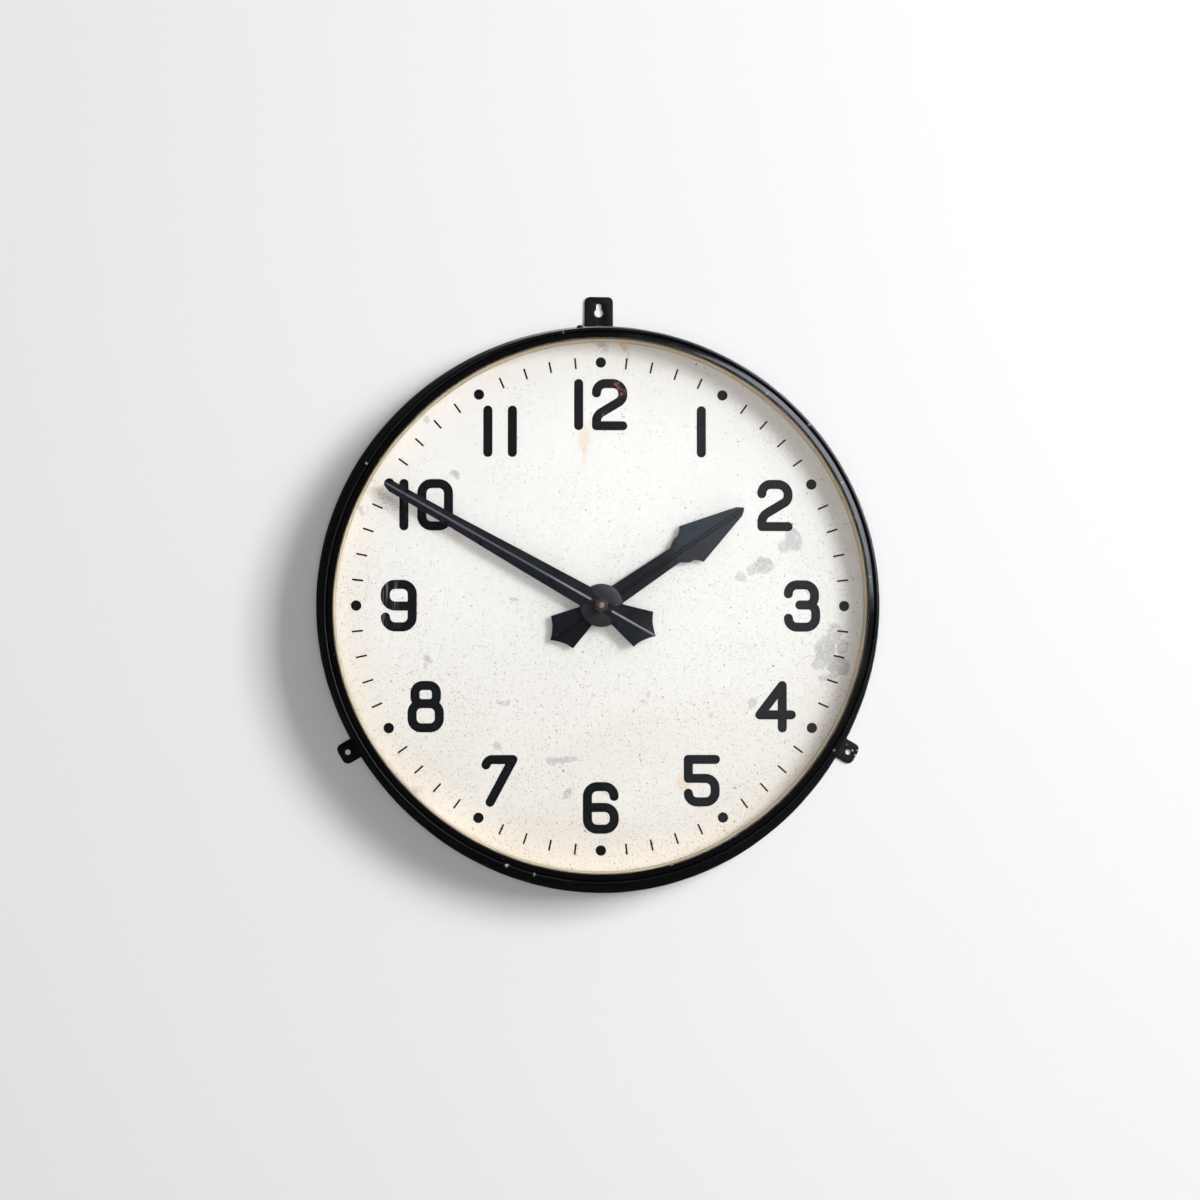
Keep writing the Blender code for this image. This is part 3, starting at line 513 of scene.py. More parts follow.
def numeral_ink():
    """Satin black print, rubbed in places, with rust run over the top of the dial."""
    black = (0.003, 0.0033, 0.004)
    paint = Paint("numeral_ink", black, 0.6, specular_ior_level=0.12)
    ragged = paint.shaken(120, 8 * MM)
    worn = paint.times(paint.clouds((240, 5, 0.7), 0.56, 0.78), 0.28)
    base = paint.blend(worn, black, (0.03, 0.03, 0.032))
    streaks = paint.noise(500, 2, coords=paint.vector("MULTIPLY", paint.coords, (1, 1, 0.06)))
    rubbed_places = ((-187, 2, 24, 50, 0, 0.6), (-169, 88, 8, 30, 0, 0.4), (-97, 158, 3, 16, 0, 0.5))
    rubbed = paint.times(paint.all_spots(rubbed_places, 0.5), paint.ease(streaks, 0.5, 0.68))
    base = paint.blend(rubbed, base, (0.14, 0.15, 0.155))
    rust_places = ((14, 192, 5, 12, 5, 0.75), (18, 187, 7, 6, 0, 0.7), (4, 166, 6, 9, 30, 0.4))
    rust = paint.times(paint.all_spots(rust_places, 0.4, ragged), paint.clouds((380, 4), 0.42, 0.58))
    base = paint.blend(rust, base, (0.26, 0.11, 0.065))
    dull = paint.clouds((90, 3), 0.3, 0.7, 0.5, 0.7)
    return paint.dress(base, dull, paint.bump(paint.noise(1100, 3), 0.02 * MM, 0.4))


def surround_paint():
    """Cream paint of the ring round the dial, with grime in the corner where it meets the dial."""
    cream = (0.58, 0.46, 0.285)
    paint = Paint("surround_paint", cream, 0.6)
    _, depth, up = paint.axes()
    base = paint.blend(paint.clouds((24, 5), 0.35, 0.7), cream, (0.48, 0.37, 0.215))
    wobble = paint.times(paint.maths("SUBTRACT", paint.noise(60, 4), 0.5), 3 * MM)
    height = paint.maths("ADD", paint.times(depth, -1.0), wobble)
    grime = paint.ease(height, DIAL_FRONT + 2.2 * MM, DIAL_FRONT + 0.7 * MM, 0.0, 0.85)
    base = paint.blend(grime, base, (0.16, 0.115, 0.06))
    rusty = paint.clouds((45, 5, 0.7), 0.56, 0.7, 0.0, 0.5)
    low = paint.ease(up, 0.05, -0.15, 0.1, 1.0)
    base = paint.blend(paint.times(rusty, low), base, (0.50, 0.25, 0.10))
    dull = paint.clouds((80, 3), 0.3, 0.7, 0.5, 0.7)
    return paint.dress(base, dull, paint.bump(paint.noise(500, 3), 0.04 * MM, 0.4))


def case_enamel():
    """The case's enamel, with chips on its front rim and faint spinning rings on its back."""
    paint = enamel("case_enamel", dust=0.3, chips=0.35, gloss=0.2)
    chips = (
        (*polar(301, 238), 4, 2.2, 31, 1),
        (*polar(200, 238.5), 5, 2.5, -60, 0.9),
        (*polar(194, 238), 13, 1.6, -76, 0.5),
        (*polar(49, 238.3), 5, 2, 139, 0.6),
        (*polar(122, 238.3), 6, 1.6, 32, 0.35),
        (*polar(352, 238.3), 10, 1.4, 82, 0.3),
    )
    depth = paint.axes()[1]
    front = paint.ease(depth, -72 * MM, -73.5 * MM)
    chipped = paint.times(paint.all_spots(chips, 0.4, paint.shaken(300, 4 * MM)), front)
    base = paint.blend(chipped, paint.now("Base Color"), (0.42, 0.41, 0.40))
    dull = paint.maths("ADD", paint.now("Roughness"), paint.ease(front, 0.0, 1.0, 0.2, 0.0))
    radius = paint.node("CombineXYZ", [paint.vector("LENGTH", paint.flattened())])[0]
    rings = paint.noise(900, 2, coords=radius)
    behind = paint.ease(depth, -4 * MM, -1 * MM, 0.0, 0.5)
    spun = paint.bump(paint.times(rings, behind), 0.08 * MM, 0.6, paint.now("Normal"))
    return paint.dress(base, dull, spun)


def bezel_enamel():
    """The bezel's enamel: glossier, with nicks on its lip and the dull scuffs of many hands."""
    paint = enamel("bezel_enamel", dust=0.15, chips=0.25, gloss=0.12, wave=0.45)
    nicks = (
        (*polar(165, 231.5), 3, 1.4, -15, 0.6),
        (*polar(174, 231.2), 2.4, 1.6, -6, 0.6),
        (*polar(38, 233), 4, 1.5, 128, 0.4),
        (*polar(63, 234), 4, 1.2, 153, 0.5),
        (*polar(71, 231.4), 3.4, 1.2, 161, 0.5),
        (*polar(84, 233.8), 3, 1.2, 174, 0.4),
    )
    front = paint.ease(paint.axes()[1], -76 * MM, -77.5 * MM)
    nicked = paint.times(paint.all_spots(nicks, 0.4, paint.shaken(400, 3 * MM)), front)
    paint.set("Base Color", paint.blend(nicked, paint.now("Base Color"), (0.33, 0.32, 0.31)))
    return paint.material


def lug_enamel(name, specks):
    """Enamel of a fixing lug, with flecks of bare metal and plaster."""
    paint = enamel(name, dust=0.5, chips=0.6, gloss=0.24)
    distance, lot = paint.cells(420)
    fleck = paint.times(paint.ease(distance, 0.42, 0.3), paint.ease(lot, 1 - specks, 1.02 - specks))
    paint.set("Base Color", paint.blend(fleck, paint.now("Base Color"), (0.45, 0.45, 0.46)))
    return paint.material


def hand_enamel(name, angle, sheen_from, sheen_to, rib_highlight):
    """Black enamel of a hand, with specks of dust. Beyond a given distance along it (on the hour hand, its
    spade) a painted sheen makes it greyer. Its two facets are painted a lit and a shaded tone.

    The rib has a painted highlight along it, brightest by the hub and standing also for wear, or else lies
    between two grooves painted black as shade.
    """
    paint = Paint(name, (0.005, 0.005, 0.006), 0.34, specular_ior_level=0.2)
    across, up = polar(angle, 1)
    along = paint.vector("DOT_PRODUCT", paint.coords, (across, 0, up))
    side = paint.vector("DOT_PRODUCT", paint.coords, (up, 0, -across))
    cloudy = paint.noise(70, 5, 0.65)
    # Painted sheen: beyond a given distance along the hand it is painted greyer, with its two facets
    # painted a lit and a shaded tone.
    dull = paint.ease(along, sheen_from, sheen_to)
    grey = paint.blend(paint.ease(side, -0.006, 0.006), (0.026, 0.033, 0.042), (0.026, 0.025, 0.033))
    grey = paint.blend(paint.ease(cloudy, 0.35, 0.7, 0.0, 0.5), grey, (0.016, 0.018, 0.023))
    # Painted light and shade on the nearer part: one facet is painted blue-black, the other black.
    plain = paint.blend(paint.ease(side, 0.001, -0.001), (0.002, 0.002, 0.0025), (0.006, 0.0072, 0.0105))
    base = paint.blend(dull, plain, grey)
    from_middle = paint.maths("ABSOLUTE", side)
    # Painted highlight along the rib, brightest near the hub and fading outwards; it stands also for wear
    # of the enamel.
    if rib_highlight:
        outside_hub = paint.ease(paint.maths("ABSOLUTE", along), 9.6 * MM, 11 * MM)
        bright = paint.times(paint.ease(from_middle, 1.15 * MM, 0.75 * MM), outside_hub)
        outwards = paint.ease(paint.maths("ABSOLUTE", along), 20 * MM, 70 * MM)
        base = paint.blend(bright, base, paint.blend(outwards, (0.19, 0.19, 0.215), (0.07, 0.074, 0.095)))
    else:
        # Painted shade: the grooves on either side of the rib are painted black.
        from_groove = paint.maths("ABSOLUTE", paint.maths("SUBTRACT", from_middle, 1.35 * MM))
        base = paint.blend(paint.ease(from_groove, 0.6 * MM, 0.3 * MM), base, (0.002, 0.002, 0.002))
    distance, lot = paint.cells(800)
    dust = paint.times(paint.ease(distance, 0.28, 0.15), paint.ease(lot, 0.9, 0.99, 0.0, 0.5))
    base = paint.blend(dust, base, (0.16, 0.15, 0.14))
    gloss = paint.ease(cloudy, 0.3, 0.7, 0.26, 0.44)
    return paint.dress(base, gloss, paint.bump(paint.noise(1400, 3), 0.02 * MM, 0.5))


def metal(name, colour, dark, roughness=0.35, grain=(1, 1, 12), tarnish=0.5):
    """Drawn or turned metal: brush marks along one axis, tarnished in clouds."""
    paint = Paint(name, colour, roughness, 1.0)
    brushed = paint.noise(260, 4, 0.6, coords=paint.vector("MULTIPLY", paint.coords, grain))
    cloudy = paint.clouds((60, 6, 0.7), 0.42, 0.72, 0.0, tarnish)
    base = paint.blend(cloudy, paint.blend(brushed, colour, [0.8 * c for c in colour]), dark)
    gloss = paint.ease(brushed, 0.3, 0.7, roughness - 0.08, roughness + 0.15)
    return paint.dress(base, gloss, paint.bump(brushed, 0.01 * MM, 0.4))


def old_brass():
    """Brown brass, mottled darker in clouds, as on the nut that holds the hands."""
    paint = Paint("old_brass", (0.30, 0.21, 0.13), 0.5, 0.85)
    cloudy = paint.clouds((420, 5, 0.7), 0.35, 0.65)
    base = paint.blend(cloudy, (0.11, 0.085, 0.06), (0.04, 0.032, 0.026))
    return paint.dress(base, paint.ease(cloudy, 0.0, 1.0, 0.4, 0.7), paint.bump(cloudy, 0.03 * MM, 0.5))


def coil_tape():
    """Varnished cotton tape wound round a coil."""
    paint = Paint("coil_tape", (0.03, 0.12, 0.07), 0.55, coat_weight=0.3, coat_roughness=0.3)
    inputs = {"Vector": paint.coords, "Scale": 150, "Distortion": 1.5}
    turns = paint.node("TexWave", inputs, wave_type="BANDS", bands_direction="Z")["Fac"]
    base = paint.blend(turns, (0.018, 0.075, 0.045), (0.04, 0.14, 0.085))
    grimy = paint.ease(paint.noise(90), 0.5, 0.7, 0.0, 0.5)
    paint.set("Base Color", paint.blend(grimy, base, (0.03, 0.05, 0.03)))
    paint.set("Normal", paint.bump(turns, 0.15 * MM, 0.6))
    return paint.material


def mottled(name, colour, other, roughness, scale=80, bump=0.03 * MM, **sockets):
    """A plain material in two tones, with fine relief: rubber, phenolic or cloth."""
    paint = Paint(name, colour, roughness, **sockets)
    cloudy = paint.noise(scale, 5, 0.65)
    base = paint.blend(paint.ease(cloudy, 0.35, 0.7), colour, other)
    gloss = paint.ease(cloudy, 0.3, 0.7, roughness - 0.08, roughness + 0.08)
    return paint.dress(base, gloss, paint.bump(paint.noise(scale * 9, 3), bump, 0.5))


def cloth_wire():
    """Braided cotton over a wire, red with a paler thread."""
    paint = Paint("cloth_wire", (0.4, 0.08, 0.05), 0.85, sheen_weight=0.3)
    distance, lot = paint.cells(1600)
    base = paint.blend(paint.ease(lot, 0.3, 0.7), (0.30, 0.05, 0.035), (0.42, 0.10, 0.06))
    paint.set("Base Color", paint.blend(paint.ease(lot, 0.9, 0.95), base, (0.5, 0.42, 0.32)))
    paint.set("Normal", paint.bump(distance, 0.2 * MM, 0.8))
    return paint.material


def old_glass():
    """Clear drawn glass, faintly uneven, with grime at its edge. Lamps shine through it."""
    paint = Paint("old_glass", (0.985, 0.983, 0.98), 0.0, transmission_weight=1.0, ior=1.46)
    paint.set("Roughness", paint.clouds((30, 4), 0.45, 0.8, 0.0, 0.06))
    paint.set("Normal", paint.bump(paint.noise(7, 2), 0.3 * MM, 0.1))
    paint.clear_where(paint.add("LightPath").outputs["Is Shadow Ray"], (0.99, 0.985, 0.98))
    return paint.material


CASE_ENAMEL = case_enamel()
BLACK_ENAMEL = enamel("black_enamel").material
RUBBER = mottled("black_rubber", (0.018, 0.018, 0.018), (0.035, 0.034, 0.032), 0.75)
SLOT_MATERIALS = {
    "black_enamel": BLACK_ENAMEL,
    "dial_paint": dial_face(),
    "spacer_paint": surround_paint(),
    "hand_enamel": enamel("hand_enamel_plain").material,
    "clear_glass": old_glass(),
    "black_rubber": RUBBER,
    "steel": metal("steel", (0.42, 0.42, 0.43), (0.12, 0.10, 0.09)),
    "soft_iron": metal("soft_iron", (0.22, 0.22, 0.23), (0.09, 0.06, 0.045), 0.5),
    "brass": metal("brass", (0.60, 0.43, 0.18), (0.22, 0.14, 0.06), 0.33),
    "old_brass": old_brass(),
    "coil_tape": coil_tape(),
    "phenolic": mottled("phenolic", (0.075, 0.032, 0.02), (0.035, 0.017, 0.012), 0.4, 140, coat_weight=0.2),
    "cloth_wire": cloth_wire(),
}


def paint_cad_nodes():
    """Gives every CAD node its slot's material. Smooth shading belongs to the round ones."""
    for part in frame["record"]["subparts"]:
        node = frame["nodes"][part["node"]]
        node.data.materials.clear()
        node.data.materials.append(SLOT_MATERIALS[part["material_slot"]])
        smoothed(node.data, 35)


# Case, bezel, ring, seal and glass -------------


def make_case():
    """The spun pan: floor, round corner, swelling side, and a rolled rim at the front."""
    middle = CASE_RIM_RADIUS - CASE_RIM_WIDTH / 2
    bead = CASE_RIM_WIDTH / 2
    corner = (CASE_RADIUS - CASE_CORNER, CASE_CORNER)
    side = [CASE_CORNER + (CASE_FRONT - bead - CASE_CORNER) * i / 10 for i in range(11)]
    profile = [(0, 0), (0.1, 0), (0.2, 0)]
    profile += arc(corner, CASE_CORNER, -90, 0, 10)
    profile += [(case_side_radius(depth), depth) for depth in side[1:]]
    profile += arc((middle, CASE_FRONT - bead), bead, 20, 180, 9)
    profile.append((middle - bead, CASE_FRONT - 6 * MM))
    profile += [(case_side_radius(depth) - SHEET, depth) for depth in reversed(side[1:-1])]
    profile += arc(corner, CASE_CORNER - SHEET, 0, -90, 10)
    profile += [(0.2, SHEET), (0.1, SHEET), (0, SHEET)]
    shell = lathe("spun_case", profile, ripple=0.15 * MM, back=1.0)
    hole = lathe("hole", [(0, -5 * MM), (GROMMET_RADIUS, -5 * MM), (GROMMET_RADIUS, 5 * MM), (0, 5 * MM)],
                 segments=48, follow=0, centre=GROMMET_PLACE)
    shell = smoothed(combined(shell, hole, "DIFFERENCE"), 40)
    add_piece("spun_case", shell, CASE_ENAMEL, "black_enamel", "case_pan")


def make_bezel():
    """A ring that slopes away outwards from a narrow crest beside its lip, with a skirt behind."""
    drop = BEZEL_FRONT - 80 * MM
    outer = BEZEL_RADIUS - 0.1 * MM
    inner = outer - SHEET
    lip_back = GLASS_FRONT + GAP
    slope = ((230.35, 79.3), (230.6, 79.9), (230.95, 79.95), (231.5, 79.7), (232.5, 79.15),
             (233.5, 78.55), (234.5, 77.9), (235.4, 77.2), (235.9, 76.5))
    profile = [(LIP_RADIUS, 77.2 * MM)]
    profile += [(radius * MM, depth * MM + drop) for radius, depth in slope]
    profile += [(outer, 75.8 * MM), (outer, BEZEL_BACK), (inner, BEZEL_BACK), (inner, lip_back)]
    profile.append((LIP_RADIUS, lip_back))
    ring = lathe("front_bezel", profile, segments=540, ripple=0.22 * MM, sharp_angle=50)
    ring = softened(ring, 0.25 * MM, 2, 50)
    add_piece("front_bezel", ring, bezel_enamel(), "black_enamel", "bezel_ring")


def make_front():
    """Glass, its rubber seal and the cream ring round the dial, all sprung into the bent case."""
    pane = [(0, GLASS_BACK), (0.1, GLASS_BACK), (GLASS_RADIUS, GLASS_BACK), (GLASS_RADIUS, GLASS_FRONT),
            (0.1, GLASS_FRONT), (0, GLASS_FRONT)]
    pane = lathe("front_glass", pane, segments=180)
    add_piece("front_glass", pane, SLOT_MATERIALS["clear_glass"], "clear_glass", "glass_pane")
    front, inner, outer = GLASS_BACK - GAP, 230.2 * MM, 234.2 * MM
    seal = [(inner, SEAL_BACK), (outer, SEAL_BACK), (outer, front), (inner, front)]
    seal = softened(lathe("glass_gasket", seal, ripple=0.3 * MM), 0.4 * MM)
    add_piece("glass_gasket", seal, RUBBER, "black_rubber", "glass_seal")
    foot = DIAL_FRONT + 0.15 * MM
    top = SEAL_BACK - GAP
    outer = SPACER_RADIUS + SHEET
    flange = 233 * MM
    wall = [(SPACER_RADIUS, foot + (top - foot) * i / 8) for i in range(9)]
    profile = wall + [(flange, top), (flange, top - SHEET), (outer, top - SHEET), (outer, foot)]
    ring = softened(lathe("dial_surround", profile, ripple=0.35 * MM), 0.25 * MM)
    cream = SLOT_MATERIALS["spacer_paint"]
    add_piece("dial_surround", ring, cream, "spacer_paint", "dial_spacer_ring")


def make_bezel_screw(name, turned_half_round, node):
    """A round-headed slotted screw that stands on the case's side and reaches in to the bezel."""
    angle = BEZEL_SCREW_ANGLE + (180 if turned_half_round else 0)
    seat = case_side_radius(BEZEL_SCREW_DEPTH) + bend(angle) + 0.3 * MM
    shank, head, dome = 1.5 * MM, 3.1 * MM, 2.1 * MM
    profile = [(0, -8 * MM), (shank, -8 * MM), (shank, 0), (head, 0)]
    turns = [math.radians(a) for a in range(20, 90, 14)]
    profile += [(head * math.cos(a), dome * math.sin(a)) for a in turns]
    profile.append((0, dome))
    screw = lathe(name, profile, segments=40, follow=0)
    long, wide = 4 * MM, 0.45 * MM
    slot = [(-long, -wide), (long, -wide), (long, wide), (-long, wide)]
    slot = flat_piece("slot", [slot], 1.1 * MM, 4 * MM)
    slot.transform(Matrix.Rotation(math.radians(35), 4, "Y"))
    screw = combined(screw, slot, "DIFFERENCE")
    lift = Matrix.Translation((0, 0, seat)) @ Matrix.Rotation(-math.pi / 2, 4, "X")
    turn = Matrix.Rotation(math.radians(angle), 4, "Y")
    screw.transform(Matrix.Translation(place(0, 0, BEZEL_SCREW_DEPTH)) @ turn @ lift)
    add_piece(name, smoothed(screw, 35), BLACK_ENAMEL, "steel", node)


def make_fixings():
    """Lugs with their edges eased, and the rivets that hold them."""
    plain = lug_enamel("lug_enamel_plain", 0.01)
    specked = lug_enamel("lug_enamel_specked", 0.14)
    for side, node, material in (
        ("top", "top_hanging_lug", plain),
        ("left", "left_fixing_lug", plain),
        ("right", "right_fixing_lug", specked),
    ):
        strap = softened_copy(node, 0.45 * MM)
        add_piece(side + "_strap", strap, material, "black_enamel", node)
        for i in (1, 2):
            rivet = f"{side}_lug_rivet_{i}"
            head = softened_copy(rivet, 0.4 * MM)
            add_piece(rivet + "_worn", head, BLACK_ENAMEL, "steel", rivet)
    grommet = softened_copy("cable_grommet", 0.4 * MM)
    add_piece("moulded_grommet", grommet, RUBBER, "black_rubber", "cable_grommet")
    make_bezel_screw("case_screw_top", False, "bezel_screw_top")
    make_bezel_screw("case_screw_bottom", True, "bezel_screw_bottom")


# Dial print ------------------------------------

# Each numeral's strokes, in mm about its centre: corners as (across, up, radius of the bend there).
# A stroke that starts with "loop" closes on itself.
SIX = (
    (None, (11.5, 10, 0), (11.5, 18.5, 8.4), (-11.7, 18.5, 8.5), (-11.7, -8, 0)),
    ("loop", (-11.7, 0.4, 4.6), (11.7, 0.4, 8.5), (11.7, -18.5, 8.5), (-11.7, -18.5, 8.5)),
)
GLYPHS = {
    "0": (("loop", (-11.6, 18.5, 8.5), (11.6, 18.5, 8.5), (11.6, -18.5, 8.5), (-11.6, -18.5, 8.5)),),
    "1": ((None, (0, -18.5, 0), (0, 18.5, 0)),),
    "2": (
        (None, (-11.4, 10.3, 0), (-11.4, 18.5, 7.8), (11.6, 18.5, 9), (11.6, 4.4, 7.5), (-11.4, -9.4, 9),
         (-11.4, -18.5, 0), (11.6, -18.5, 0)),
    ),
    "3": (
        (None, (-11.9, 10.7, 0), (-11.9, 18.5, 7.5), (11, 18.5, 8.5), (11, 0.9, 6.5), (-1.9, 0.9, 0)),
        (None, (0, 0.9, 0), (12, 0.9, 6.5), (12, -18.5, 8.5), (-11.9, -18.5, 7.5), (-11.9, -10.7, 0)),
    ),
    "4": (
        (None, (6.1, -18.5, 0), (6.1, 18.5, 0)),
        (None, (6.1, 18.5, 0), (-13.6, -7.1, 0), (14, -7.1, 0)),
    ),
    "5": (
        (None, (12, 18.5, 0), (-11.7, 18.5, 0), (-11.7, 2, 0), (11.7, 2, 8.5), (11.7, -18.5, 8.5),
         (-11.7, -18.5, 7.5), (-11.7, -10.9, 0)),
    ),
    "6": SIX,
    "7": ((None, (-12, 13.9, 0), (-9.6, 18.5, 5), (11.4, 18.5, 0), (-8.3, -18.5, 0)),),
    "8": (
        ("loop", (-9.3, 18.5, 6.5), (9.3, 18.5, 6.5), (9.3, 2.7, 6), (-9.3, 2.7, 6)),
        ("loop", (-11.8, 2.7, 8), (11.8, 2.7, 8), (11.8, -18.3, 8), (-11.8, -18.3, 8)),
    ),
    "9": tuple((kind, *((-x, -y, r) for x, y, r in corners)) for kind, *corners in SIX),
}
# Numerals with more than one digit: (digit, offset across from the numeral's centre, in mm)
DIGITS = {
    10: (("1", -19.3), ("0", 7.9)),
    11: (("1", -10.7), ("1", 10.7)),
    12: (("1", -19.4), ("2", 7.6)),
}


def rounded_path(corners, closed):
    """A path through corners given as (across, up, bend radius), with an arc at each bend."""
    points = []
    count = len(corners)
    for i, (across, up, radius) in enumerate(corners):
        here = Vector((across, up))
        if radius == 0 or (not closed and i in (0, count - 1)):
            points.append(here)
            continue
        to_last = (Vector(corners[i - 1][:2]) - here).normalized()
        to_next = (Vector(corners[(i + 1) % count][:2]) - here).normalized()
        half = to_last.angle(to_next) / 2
        start = here + to_last * radius / math.tan(half)
        centre = here + (to_last + to_next).normalized() * radius / math.sin(half)
        sweep = math.pi - 2 * half
        side = 1 if to_last.x * to_next.y - to_last.y * to_next.x < 0 else -1
        steps = 10
        for step in range(steps + 1):
            points.append(centre + Matrix.Rotation(side * sweep * step / steps, 2) @ (start - centre))
    return points


def left_edge(points, half, closed):
    """The left edge of a stroke: mitred inside its corners and rounded outside them."""
    edge = []
    count = len(points)
    for i, here in enumerate(points):
        normals = []
        if closed or i > 0:
            step = here - points[i - 1]
            normals.append(Vector((-step.y, step.x)).normalized())
        if closed or i < count - 1:
            step = points[(i + 1) % count] - here
            normals.append(Vector((-step.y, step.x)).normalized())
        first, last = normals[0], normals[-1]
        turn = math.atan2(first.x * last.y - first.y * last.x, first.dot(last))
        if turn < -0.3:
            steps = max(2, round(-turn / 0.2))
            for step in range(steps + 1):
                edge.append(here + Matrix.Rotation(turn * step / steps, 2) @ first * half)
        else:
            edge.append(here + (first + last) * half / (1 + first.dot(last)))
    return edge


def round_end(centre, start, half):
    """A half circle that ends a stroke, clockwise from its left edge to its right edge."""
    arm = (start - centre).normalized() * half
    return [centre + Matrix.Rotation(-math.pi * i / 14, 2) @ arm for i in range(1, 14)]


def stroke_outlines(stroke, half):
    """The outlines of one stroke of a numeral."""
    kind, *corners = stroke
    closed = kind == "loop"
    points = rounded_path(corners, closed)
    left = left_edge(points, half, closed)
    right = left_edge(points[::-1], half, closed)
    if closed:
        return [left, right]
    return [left + round_end(points[-1], left[-1], half) + right + round_end(points[0], right[-1], half)]


def numeral(number):
    """One numeral's mesh, its strokes made one solid. Strokes differ by a hair in thickness."""
    parts = []
    angle = 30 * number
    centre = Vector(polar(angle, NUMERAL_RADIUS))
    for digit, offset in DIGITS.get(number, ((str(number), 0),)):
        glyph = None
        for i, stroke in enumerate(GLYPHS[digit]):
            outlines = []
            for outline in stroke_outlines(stroke, STROKE / 2 / MM):
                outlines.append([(centre.x + (p.x + offset) * MM, centre.y + p.y * MM) for p in outline])
            front = DIAL_FRONT + PRINT_THICKNESS + i * 0.006 * MM
            mesh = flat_piece("stroke", outlines, DIAL_FRONT - (0.02 + 0.006 * i) * MM, front)
            glyph = mesh if glyph is None else combined(glyph, mesh, "UNION")
        parts.append(glyph)
    return joined(f"numeral_{number}", parts)


def make_print():
    """Numerals, a dot at each hour and a tick at each minute between, as thin layers of paint."""
    ink = numeral_ink()
    for number in range(1, 13):
        add_piece(f"numeral_{number}", numeral(number), ink, "hand_enamel")
    dots = []
    ticks = []
    for minute in range(60):
        angle = 6 * minute
        centre = Vector(polar(angle, TRACK_RADIUS))
        if minute % 5 == 0:
            circle = [polar(10 * i, DOT_RADIUS) for i in range(36)]
            outline = [(centre.x + x, centre.y + y) for x, y in circle]
            dots.append(flat_piece("dot", [outline], DIAL_FRONT - 0.02 * MM, DIAL_FRONT + PRINT_THICKNESS))
        else:
            out, along = Vector(polar(angle, TICK[1] / 2)), Vector(polar(angle + 90, TICK[0] / 2))
            outline = [centre + out + along, centre + out - along]
            outline += [centre - out - along, centre - out + along]
            ticks.append(
                flat_piece("tick", [outline], DIAL_FRONT - 0.02 * MM, DIAL_FRONT + PRINT_THICKNESS)
            )
    add_piece("hour_dots", joined("hour_dots", dots), ink, "hand_enamel")
    add_piece("minute_ticks", joined("minute_ticks", ticks), ink, "hand_enamel")


# Hands -----------------------------------------


def pressed_hand(name, stations, ridge_height, ridge, angle, back, thickness=0.8 * MM):
    """A hand pressed from sheet: its section is a shallow roof with a narrow rib along the middle.

    stations are (along, half width) pairs from the tail's point to the tip, in mm. ridge gives the
    rib's section as (offset from the middle, height over the roof) pairs for its right half, in mm.
    """
    stations = [(along * MM, half * MM) for along, half in stations]
    ridge = [(offset * MM, height * MM) for offset, height in ridge]
    bm = bmesh.new()
    turn = math.radians(angle)
    forward = Vector((math.sin(turn), 0, math.cos(turn)))
    sideways = Vector((math.cos(turn), 0, -math.sin(turn)))
    rings = []
    for along, half in stations:
        squeeze = min(1, half / (1.6 * ridge[-1][0]))
        rise = ridge_height * min(1, half / (6 * MM))
        section = [(half, 0)] + [(x * squeeze, rise + h * squeeze) for x, h in reversed(ridge)]
        if ridge[0][0] > 0:
            section.append((0, rise + ridge[0][1] * squeeze))
        right = list(section)
        left = [(-x, h) for x, h in reversed(section) if x > 0]
        top = right + left
        bottom = [(x, h - thickness) for x, h in reversed(top)]
        ring = []
        for offset, height in top + bottom:
            depth = back + thickness + height
            ring.append(bm.verts.new(forward * along + sideways * offset + Vector((0, -depth, 0))))
        rings.append(ring)
    count = len(rings[0])
    for near, far in zip(rings, rings[1:]):
        for i in range(count):
            j = (i + 1) % count
            bm.faces.new((near[i], near[j], far[j], far[i]))
    bm.faces.new(rings[0])
    bm.faces.new(rings[-1])
    return finished(bm, name, 14)


def swallow_tail(point, corner, half, waist, waist_half):
    """Stations of a tail, in mm: a point, hollow edges out to two corners, then in to the waist."""
    stations = []
    for i in range(9):
        share = i / 8
        hollow = 1.8 * 4 * share * (1 - share)
        stations.append((point + (corner - point) * share + hollow, max(half * share, 0.25)))
    stations.append((waist, waist_half))
    return stations


def bored(mesh, radius):
    """Drills a hand for its pipe."""
    profile = [(0, 40 * MM), (radius, 40 * MM), (radius, 75 * MM), (0, 75 * MM)]
    return smoothed(combined(mesh, lathe("bore", profile, segments=48, follow=0), "DIFFERENCE"), 14)


